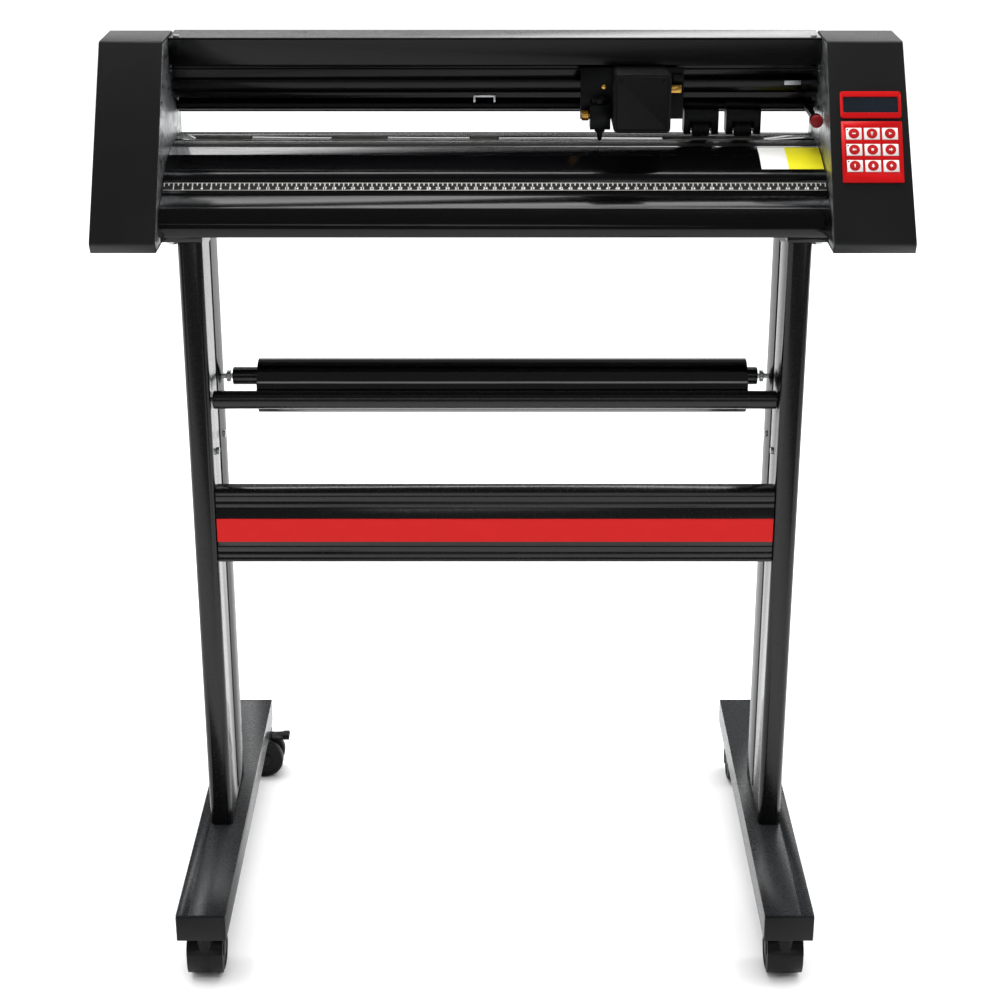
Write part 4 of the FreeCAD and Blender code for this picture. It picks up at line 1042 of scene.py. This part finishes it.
# %% Blade holder and its clamp
tool_low, tool_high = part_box("blade_holder")
tool_foot = Vector(((tool_low.x + tool_high.x) / 2, (tool_low.y + tool_high.y) / 2, tool_low.z))
collar = (tool_high.x - tool_low.x) * 500
barrel = collar - 3
tall = (tool_high.z - tool_low.z) * 1000
outline = [(0, 1.2), (1.0, 1.2), (2.0, 2.4), (barrel - 2.7, 6.5), (barrel - 2.5, 10.5), (barrel, 12)]
for thread in range(8):
    foot = 13 + thread * 0.9
    outline += [(barrel, foot), (barrel - 0.35, foot + 0.3), (barrel - 0.35, foot + 0.45),
                (barrel, foot + 0.75)]
outline += [(barrel, tall - 6), (collar - 0.9, tall - 6), (collar - 0.3, tall - 5.4),
            (collar - 0.3, tall - 0.8), (collar - 1.1, tall), (4.2, tall), (3.8, tall - 1.2), (0, tall - 1.2)]
knurl = grown(RING, Count=44, Radius=mm(collar - 0.35), Block=(mm(0.7), mm(0.55), mm(4.4)), Material=BRASS)
holder = joined(lathe(outline, tool_foot, steps=56),
                (knurl, Matrix.Translation(tool_foot + Vector((0, 0, mm(tall - 3.1))))))
finish_piece("blade_holder_turned", holder, BLACK_STEEL, BODY_OF["blade_holder"],
             replaces=("blade_holder",))
blade = lathe([(0, 0), (0.45, 0.9), (0.45, 2.2), (0, 2.2)], tool_foot, steps=16)
finish_piece("blade_tip", blade, GROUND_STEEL, BODY_OF["blade_holder"])
soften("tool_clamp", BLACK_STEEL, 0.8, 3)
print("tool", round(tall, 1), "mm tall")

# %% [markdown]
# The clamp screw is brass: a wide knurled head that fingers can turn, and a plain shank into the clamp.

# %% Clamp screw
screw_low, screw_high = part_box("clamp_screw")
screw_head = Vector((screw_low.x, (screw_low.y + screw_high.y) / 2, (screw_low.z + screw_high.z) / 2))
reach, long = (screw_high.z - screw_low.z) * 500, (screw_high.x - screw_low.x) * 1000
outline = [(0, 0.5), (3.4, 0.5), (3.8, 0), (reach - 0.8, 0), (reach - 0.3, 0.6), (reach - 0.3, 7.2),
           (reach - 0.9, 8), (2.45, 8), (2.45, long), (0, long)]
knurl = grown(RING, Count=30, Radius=mm(reach - 0.35), Block=(mm(0.65), mm(0.5), mm(5.6)), Material=BRASS)
knurl_seat = Matrix.Translation(screw_head + Vector((mm(3.9), 0, 0))) @ TURN["X"].to_4x4()
knob = joined(lathe(outline, screw_head, "X", 40), (knurl, knurl_seat))
finish_piece("clamp_screw_turned", knob, BRASS, BODY_OF["clamp_screw"], replaces=("clamp_screw",))
print("clamp screw", round(long, 1), "mm long")

# %% [markdown]
# The pinch bar is a blackened shaft with a steel lever at its right end, and the lever ends in a red knob with
# a black ring.

# %% Pinch bar and lever
bar_low, bar_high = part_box("pinch_bar")
bar_line = Vector((bar_low.x, bar_high.y - mm(5), bar_high.z - mm(7)))
knob_y = bar_low.y
lever_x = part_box("right_end_cap")[0].x - mm(11)
long = (bar_high.x - bar_low.x) * 1000
shaft = lathe([(0, 0), (4.4, 0), (5, 0.6), (5, long - 0.6), (4.4, long), (0, long)], bar_line, "X", 32)
lever = slab((lever_x, knob_y + mm(10), bar_line.z - mm(3)),
             (lever_x + mm(6), bar_line.y, bar_line.z + mm(3)), 0.8)
finish_piece("pinch_bar_turned", joined(shaft, lever), BLACK_STEEL, BODY_OF["pinch_bar"],
             replaces=("pinch_bar",))
knob_place = Vector((lever_x + mm(3), knob_y, bar_line.z))
red_knob = [(0, 0), (4.2, 0), (6, 0.9), (6.9, 2.8), (7, 5), (6.2, 8.6), (5, 9.4), (0, 9.4)]
black_ring = [(0, 9.4), (5.6, 9.4), (7, 10), (7, 13), (6.3, 14), (0, 14)]
finish_piece("lever_knob", lathe(red_knob, knob_place, aim=Vector((0, 1, 0)), steps=40), RED_PLASTIC,
             BODY_OF["pinch_bar"])
finish_piece("lever_ring", lathe(black_ring, knob_place, aim=Vector((0, 1, 0)), steps=40), HOOD_NYLON,
             BODY_OF["pinch_bar"])
print("bar", round(long), "mm long")

# %% [markdown]
# Two blackened housings ride on the bar.  Each holds a roller: a rubber tyre with two fine grooves, on a
# steel axle.

# %% Pinch housings and rollers
for number in ("1", "2"):
    soften("pinch_arm_" + number, BLACK_STEEL, 0.9, 3)
    node = "pinch_wheel_" + number
    low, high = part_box(node)
    radius, wide = (high.z - low.z) * 500, (high.x - low.x) * 1000
    start = Vector((low.x, (low.y + high.y) / 2, (low.z + high.z) / 2))
    edge = 4.5
    tyre = [(1.99, edge), (radius - 1.2, edge), (radius, edge + 1.0)]
    for groove in (0.36, 0.6):
        at = edge + (wide - 2 * edge) * groove
        tyre += [(radius, at), (radius - 0.5, at + 0.3), (radius - 0.5, at + 0.6), (radius, at + 0.9)]
    tyre += [(radius, wide - edge - 1.0), (radius - 1.2, wide - edge), (1.99, wide - edge)]
    finish_piece(node + "_tyre", lathe(tyre, start, "X", 48), RUBBER, BODY_OF[node],
                 replaces=(node,))
    axle = [(0, 0), (1.7, 0), (2, 0.3), (2, wide - 0.3), (1.7, wide), (0, wide)]
    finish_piece(node + "_axle", lathe(axle, start, "X", 24), GROUND_STEEL, BODY_OF[node])
print("pinch parts dressed")

# %% [markdown]
# The feed shaft ends in a toothed gear, in mesh with a small gear on its motor.  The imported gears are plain
# discs.  Ours are a bored disc and a ring of square teeth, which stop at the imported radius.

# %% A gear
def toothed(name, node, radius, bore, start, wide, teeth, material, replaces):
    """A bored disc with square teeth round it, along X."""
    rim = radius - 1.5
    disc = lathe([(bore, 0), (rim, 0), (rim, wide), (bore, wide)], start, "X", 56)
    ring = grown(RING, Count=teeth, Radius=mm(rim + 0.5), Block=(mm(1.9), mm(math.pi * rim / teeth), mm(wide)),
                 Material=material)
    seat = Matrix.Translation(start + Vector((mm(wide / 2), 0, 0))) @ TURN["X"].to_4x4()
    mesh = joined(disc, (ring, seat))
    return finish_piece(name, mesh, material, BODY_OF[node], replaces=replaces)


print("gear helper ready")

# %% [markdown]
# The shaft lies just under the platen, and where it drives the film it is coated with hard grit.  The packed
# part is one mesh, so we read from it where each band starts and ends: its corners that lie at the grit's
# radius give those places.

# %% Feed shaft, grit bands and gears
shaft_low, shaft_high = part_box("grit_shaft")
line_y, line_z = (shaft_low.y + shaft_high.y) / 2, (shaft_low.z + shaft_high.z) / 2
solids = sorted(loose_boxes("grit_shaft"), key=lambda box: box[1].x - box[0].x)
gear_low, gear_high = solids[0]
shaft_start, shaft_end = solids[-1]
gear_radius, gear_wide = (gear_high.z - gear_low.z) * 500, (gear_high.x - gear_low.x) * 1000
axis_point = Vector((shaft_start.x, line_y, line_z))
shaft_long = (shaft_end.x - shaft_start.x) * 1000
grit_radius = (shaft_end.z - shaft_start.z) * 500
shaft = lathe([(0, 0), (5.4, 0), (6, 0.6), (6, shaft_long - 0.6), (5.4, shaft_long), (0, shaft_long)],
              axis_point, "X", 40)
finish_piece("feed_shaft", shaft, GROUND_STEEL, BODY_OF["grit_shaft"],
             replaces=("grit_shaft",))
rings = sorted({round(vert.co.x, 5) for vert in frame["nodes"]["grit_shaft"].data.vertices
                if abs(math.hypot(vert.co.y - line_y, vert.co.z - line_z) - mm(grit_radius)) < mm(0.05)
                and vert.co.x < gear_low.x - mm(1)})
for number in range(0, len(rings), 2):
    start, end = rings[number], rings[number + 1]
    wide = (end - start) * 1000
    band = lathe([(5.9, 0), (grit_radius - 0.6, 0), (grit_radius, 0.6), (grit_radius, wide - 0.6),
                  (grit_radius - 0.6, wide), (5.9, wide)], Vector((start, line_y, line_z)), "X", 64)
    finish_piece(f"grit_band_{number // 2 + 1}", band, GRIT, BODY_OF["grit_shaft"])
toothed("feed_gear", "grit_shaft", gear_radius, 6.1, Vector((gear_low.x, line_y, line_z)), gear_wide, 36,
        HOOD_NYLON, ())
low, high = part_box("motor_pinion")
pinion_start = Vector((low.x, (low.y + high.y) / 2, (low.z + high.z) / 2))
toothed("pinion_gear", "motor_pinion", (high.z - low.z) * 500, 2.8, pinion_start, (high.x - low.x) * 1000,
        20, BRASS, ("motor_pinion",))
print(len(rings) // 2, "grit bands", rings[:4])

# %% [markdown]
# The motors are square laminated stacks with rounded corners.  Each has two black end bells that stand a
# little proud of the stack.  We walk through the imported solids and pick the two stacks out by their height.
# The smaller one, for the carriage, points along Y, and the larger one, for the feed, along X.

# %% Motors
STACK_TALL, LARGER_TALL, BELL_HALF, BELL_PROUD = mm(30), mm(38), mm(3), mm(0.15)
soften("stepper_motors", MOTOR_STEEL, 1.0, 3)
bells = []
for low, high in loose_boxes("stepper_motors"):
    if high.z - low.z > STACK_TALL:
        smaller = high.z - low.z < LARGER_TALL
        axis, deep = (Vector((0, 1, 0)), mm(24)) if smaller else (Vector((1, 0, 0)), mm(34))
        section = high - low - axis * (high - low).dot(axis)
        proud = (Vector((1, 1, 1)) - axis) * BELL_PROUD
        for share in (0.16, 0.84):
            corner = high - section - axis * deep * (1 - share)
            bells.append(slab(corner - proud - axis * BELL_HALF,
                              corner + section + proud + axis * BELL_HALF, 0.8))
finish_piece("motor_bells", joined(*bells), BLACK_STEEL, ROOT)
print(len(bells), "motor bells")

# %% [markdown]
# A flat rubber belt runs round two small pulleys in the end casings, one of them on the upper motor.  A
# pulley is turned with a flange at each end, and the ring tree sets its teeth between them.

# %% Pulleys and belt
for node in ("carriage_pulley", "idler_pulley"):
    low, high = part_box(node)
    radius, wide = (high.z - low.z) * 500, (high.y - low.y) * 1000
    start = Vector(((low.x + high.x) / 2, low.y, (low.z + high.z) / 2))
    outline = [(2.8, 0), (radius - 0.2, 0), (radius, 0.3), (radius, 1.2), (radius - 1.3, 1.3),
               (radius - 1.3, wide - 1.3), (radius, wide - 1.2), (radius, wide - 0.3), (radius - 0.2, wide),
               (2.8, wide)]
    body = lathe(outline, start, aim=Vector((0, 1, 0)), steps=40)
    ring = grown(RING, Count=18, Radius=mm(radius - 1.2), Block=(mm(1.0), mm(1.1), mm(wide - 2.4)),
                 Material=BRASS)
    seat = Matrix.Translation(start + Vector((0, mm(wide / 2), 0))) @ Matrix.Rotation(math.pi / 2, 4, "X")
    finish_piece(node + "_toothed", joined(body, (ring, seat)), HOOD_NYLON, BODY_OF[node],
                 replaces=(node,))
soften("carriage_belt", RUBBER, 0.15, 1)
print("belt on")

# %% [markdown]
# The control board carries a few plain parts in two rows, and the supply is a plain box.  They sit inside
# the left casing, seen only through the vents, so a light dressing is enough.

# %% Electronics
soften("electronics", BOARD, 0.25, 1)
low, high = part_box("electronics")
chips = []
CHIP_ROWS = ((4, 12, (mm(1.6), mm(9), mm(9))), (6, 9, (mm(6), mm(4), mm(5))))
for number, (count, pitch, size) in enumerate(CHIP_ROWS):
    board_face = high.x - mm(14.2) - size[0] / 2 + mm(0.1)
    start = (board_face, low.y + mm(22), high.z - mm(22 + 24 * number))
    chips.append(grown(ROW, Count=count, Start=start, Step=(0, mm(pitch), 0), Block=size, Material=HOOD_NYLON))
finish_piece("board_parts", joined(*chips), HOOD_NYLON, ROOT)
print("electronics dressed")

# %% [markdown]
# At the back the mains inlet is black with three bright pins, and the rocker switch beside it has a raised
# line and ring, the usual marks for on and off, which belong to no maker.

# %% Mains inlet and switch
soften("power_inlet", HOOD_NYLON, 0.5)
soften("power_switch", HOOD_NYLON, 0.6, 3)
low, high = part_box("power_switch")
across, back = (low.x + high.x) / 2, high.y - mm(0.05)
mark_line = slab((across - mm(0.35), back - mm(0.2), high.z - mm(7)),
                 (across + mm(0.35), back + mm(0.04), high.z - mm(3)))
mark_ring = lathe([(1.7, 0), (2.2, 0), (2.2, 0.24), (1.7, 0.24)],
                  Vector((across, back - mm(0.2), low.z + mm(5))), aim=Vector((0, 1, 0)), steps=32)
finish_piece("switch_marks", joined(mark_line, mark_ring), WHITE_INK, BODY_OF["power_switch"])
low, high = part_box("power_inlet")
pin_middle = Vector(((low.x + high.x) / 2, low.y + mm(6), (low.z + high.z) / 2))
pins = []
for x, z in ((-7, -1), (0, 2), (7, -1)):
    pins.append(slab(pin_middle + Vector((mm(x - 2.02), -mm(5), mm(z - 1.02))),
                     pin_middle + Vector((mm(x + 2.02), mm(6), mm(z + 1.02))), 0.3))
finish_piece("inlet_pins", joined(*pins), BRASS, ROOT)
print("mains inlet dressed")

# %% [markdown]
# The control panel leans with the casing's front.  We take its frame from the keypad's own largest face:
# one direction runs along X, one up the slope, one out of the face.  Everything on the panel is drawn flat
# in that frame, in millimetres from the centre of the keypad, and laid on by one matrix.

# %% The frame of the control panel
panel = merged("keypad_panel")
face = max(panel.faces, key=lambda item: item.calc_area() * (item.normal.z > 0))
PANEL_OUT = face.normal.copy()
panel_up = PANEL_OUT.cross(Vector((1, 0, 0)))
low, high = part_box("keypad_panel")
depth = max(vert.co.dot(PANEL_OUT) for vert in panel.verts)
rises = [vert.co.dot(panel_up) for vert in panel.verts]
panel.free()
PANEL_SEAT = (Vector((1, 0, 0)) * (low.x + high.x) / 2 + panel_up * (min(rises) + max(rises)) / 2
              + PANEL_OUT * depth)
ON_PANEL = Matrix.Translation(PANEL_SEAT) @ Matrix(
    ((1, 0, 0), tuple(panel_up), tuple(PANEL_OUT))).transposed().to_4x4()
PANEL_WIDE, PANEL_TALL = (high.x - low.x) * 1000, (max(rises) - min(rises)) * 1000
print("panel", round(PANEL_WIDE, 1), "x", round(PANEL_TALL, 1), "out", [round(v, 3) for v in PANEL_OUT])

# %% [markdown]
# The display's frame and window are flat plates with round corners.  One function makes both, from a ring of
# points for each level, and a hole is two more rings, inside the first ones.

# %% A plate with round corners
def rounded_plate(half_x, half_y, foot, top, radius=3.0, steps=6, hole=None):
    """A flat plate with round corners in the panel's frame, in mm; hole is its opening's half sizes."""
    def ring(across, along, corner, height):
        spots = []
        for quarter, (sx, sy) in enumerate(((1, 1), (-1, 1), (-1, -1), (1, -1))):
            for step in range(steps + 1):
                turn = math.pi / 2 * (quarter + step / steps)
                spots.append((mm(sx * (across - corner) + corner * math.cos(turn)),
                              mm(sy * (along - corner) + corner * math.sin(turn)), mm(height)))
        return spots

    work = bmesh.new()
    levels = [ring(half_x, half_y, radius, foot), ring(half_x, half_y, radius, top)]
    if hole:
        levels += [ring(hole[0], hole[1], 1.5, top), ring(hole[0], hole[1], 1.5, foot)]
    loops = [[work.verts.new(spot) for spot in level] for level in levels]
    pairs = list(zip(loops, loops[1:])) + ([(loops[-1], loops[0])] if hole else [])
    for below, above in pairs:
        for step in range(len(below)):
            after = (step + 1) % len(below)
            work.faces.new((below[step], below[after], above[after], above[step]))
    if not hole:
        work.faces.new(loops[0])
        work.faces.new(loops[-1])
    bmesh.ops.recalc_face_normals(work, faces=work.faces)
    return to_mesh(work, "plate")


print("plate helper ready")

# %% [markdown]
# The keypad's overlay is a rounded copy.  The window is a sheet of smoked acrylic behind a red frame, and it
# is blank: the machine is switched off.

# %% Overlay, display frame and window
low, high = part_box("display_bezel")
bezel = merged("display_bezel")
levels = [(ON_PANEL.inverted() @ vert.co) for vert in bezel.verts]
bezel.free()
half_x, half_y = (high.x - low.x) * 500, (max(v.y for v in levels) - min(v.y for v in levels)) * 500
foot, top = min(v.z for v in levels) * 1000, max(v.z for v in levels) * 1000
frame_seat = ON_PANEL @ Matrix.Translation((0, (max(v.y for v in levels) + min(v.y for v in levels)) / 2, 0))
window = (half_x - 3, half_y - 6)
surround = rounded_plate(half_x, half_y, foot, top, 3.0, hole=window)
surround.transform(frame_seat)
finish_piece("display_surround", applied(surround, edge_bevel(0.3, 2, 50)), RED_OVERLAY, ROOT,
             replaces=("display_bezel",))
glass = rounded_plate(window[0] + 0.2, window[1] + 0.2, foot, top - 1.2, 1.5)
glass.transform(frame_seat)
finish_piece("display_glass", glass, SMOKED_ACRYLIC, ROOT)
soften("keypad_panel", RED_OVERLAY, 0.25, 2)
print("display window", [round(2 * size, 1) for size in window], "mm")

# %% [markdown]
# Nine white keys.  Each one is a rounded copy with a raised red disc, and the discs carry plain signs that
# belong to no maker: arrows for the four directions, bars, squares and a triangle.  A sign is a prism over a
# polygon, in millimetres from the middle of its key.

# %% Signs of the keys
ARROW = [(-0.9, -2.2), (0.9, -2.2), (0.9, 0.4), (2.3, 0.4), (0, 2.9), (-2.3, 0.4), (-0.9, 0.4)]
BAR = [(-2.2, -0.75), (2.2, -0.75), (2.2, 0.75), (-2.2, 0.75)]
PLAY = [(-1.4, -2.0), (2.2, 0), (-1.4, 2.0)]
SQUARE = [(-1.5, -1.5), (1.5, -1.5), (1.5, 1.5), (-1.5, 1.5)]
SIGNS = ((BAR, 0), (ARROW, 0), (PLAY, 0), (ARROW, 90), (SQUARE, 0), (ARROW, -90), (BAR, 90), (ARROW, 180),
         (SQUARE, 45))


def flat_sign(points, foot, top, matrix):
    """A prism over a polygon, in the panel's frame."""
    work = bmesh.new()
    below = [work.verts.new((mm(x), mm(y), mm(foot))) for x, y in points]
    above = [work.verts.new((mm(x), mm(y), mm(top))) for x, y in points]
    work.faces.new(list(reversed(below)))
    work.faces.new(above)
    for step in range(len(points)):
        after = (step + 1) % len(points)
        work.faces.new((below[step], below[after], above[after], above[step]))
    bmesh.ops.recalc_face_normals(work, faces=work.faces)
    mesh = to_mesh(work, "sign")
    mesh.transform(matrix)
    return mesh


print(len(SIGNS), "signs")

# %% [markdown]
# Each key's disc, sign and dot are laid on its own top face, because they move with it.  The first key of
# each row has a small black dot in its corner.

# %% Keys
SIGN_SIZE = Matrix.Diagonal((0.85, 0.85, 1, 1))
for number, (points, turn) in enumerate(SIGNS, 1):
    node = f"key_{number}"
    soften(node, KEY_CAP, 0.6, 3)
    seat = ON_PANEL.inverted() @ centre_of(node)
    corners = [ON_PANEL.inverted() @ vert.co for vert in frame["nodes"][node].data.vertices]
    seat.z = max(corner.z for corner in corners)
    lay = ON_PANEL @ Matrix.Translation(seat)
    disc = lathe([(0, -0.1), (5.7, -0.1), (5.7, 0.1), (5.5, 0.16), (0, 0.16)], Vector((0, 0, 0)), steps=40)
    disc.transform(lay)
    finish_piece(node + "_disc", disc, KEY_RED, BODY_OF[node])
    sign = flat_sign(points, 0.05, 0.26, lay @ Matrix.Rotation(math.radians(turn), 4, "Z") @ SIGN_SIZE)
    finish_piece(node + "_sign", sign, WHITE_INK, BODY_OF[node], smooth=0)
    if number % 3 == 1:
        dot = lathe([(0, -0.1), (0.8, -0.1), (0.8, 0.15), (0, 0.15)], Vector((-mm(6.6), mm(4.6), 0)), steps=20)
        dot.transform(lay)
        finish_piece(node + "_dot", dot, BLACK_INK, BODY_OF[node])
print("nine keys signed")

# %% [markdown]
# Small bright parts on the track: a parking hook near the middle and the plate of a limit switch at the
# right end.  Both are bent from thin plated steel.

# %% Hook and limit switch
track_low, track_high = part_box("carriage_track")
hook_x, hook_z = MIDDLE_X - mm(11.5), track_low.z
front = track_low.y + mm(7.65)
hook = []
for middle, half, foot, top in ((0, 12, 0.5, 3.2), (-11, 1.1, -5, 1.5), (11, 1.1, -5, 1.5)):
    hook.append(slab((hook_x + mm(middle - half), front - mm(0.8), hook_z + mm(foot)),
                     (hook_x + mm(middle + half), front + mm(0.4), hook_z + mm(top)), 0.3))
finish_piece("parking_hook", joined(*hook), ZINC, ROOT)
limit_x = track_high.x - mm(28)
plate = slab((limit_x - mm(9), track_low.y - mm(0.8), track_low.z + mm(15.5)),
             (limit_x + mm(9), track_low.y + mm(0.05), track_low.z + mm(20.5)), 0.3)
finish_piece("limit_switch_plate", plate, ZINC, ROOT)
print("hook at", round(hook_x, 3))

# %% [markdown]
# The floor is a stage, not a part of the machine.  It reaches so far behind that the camera sees nothing else
# round the machine, so the machine stands on clean white with a soft shadow at its castors.

# %% Floor
floor_mesh = bpy.data.meshes.new("floor")
floor_mesh.from_pydata([(-20, -12, 0), (20, -12, 0), (20, 28, 0), (-20, 28, 0)], [], [(0, 1, 2, 3)])
floor_material, _, floor_shader, _ = start_finish("white_floor", "#ffffff", 0.9)
floor_mesh.materials.append(floor_material)
placed("floor", floor_mesh)
print("floor laid")
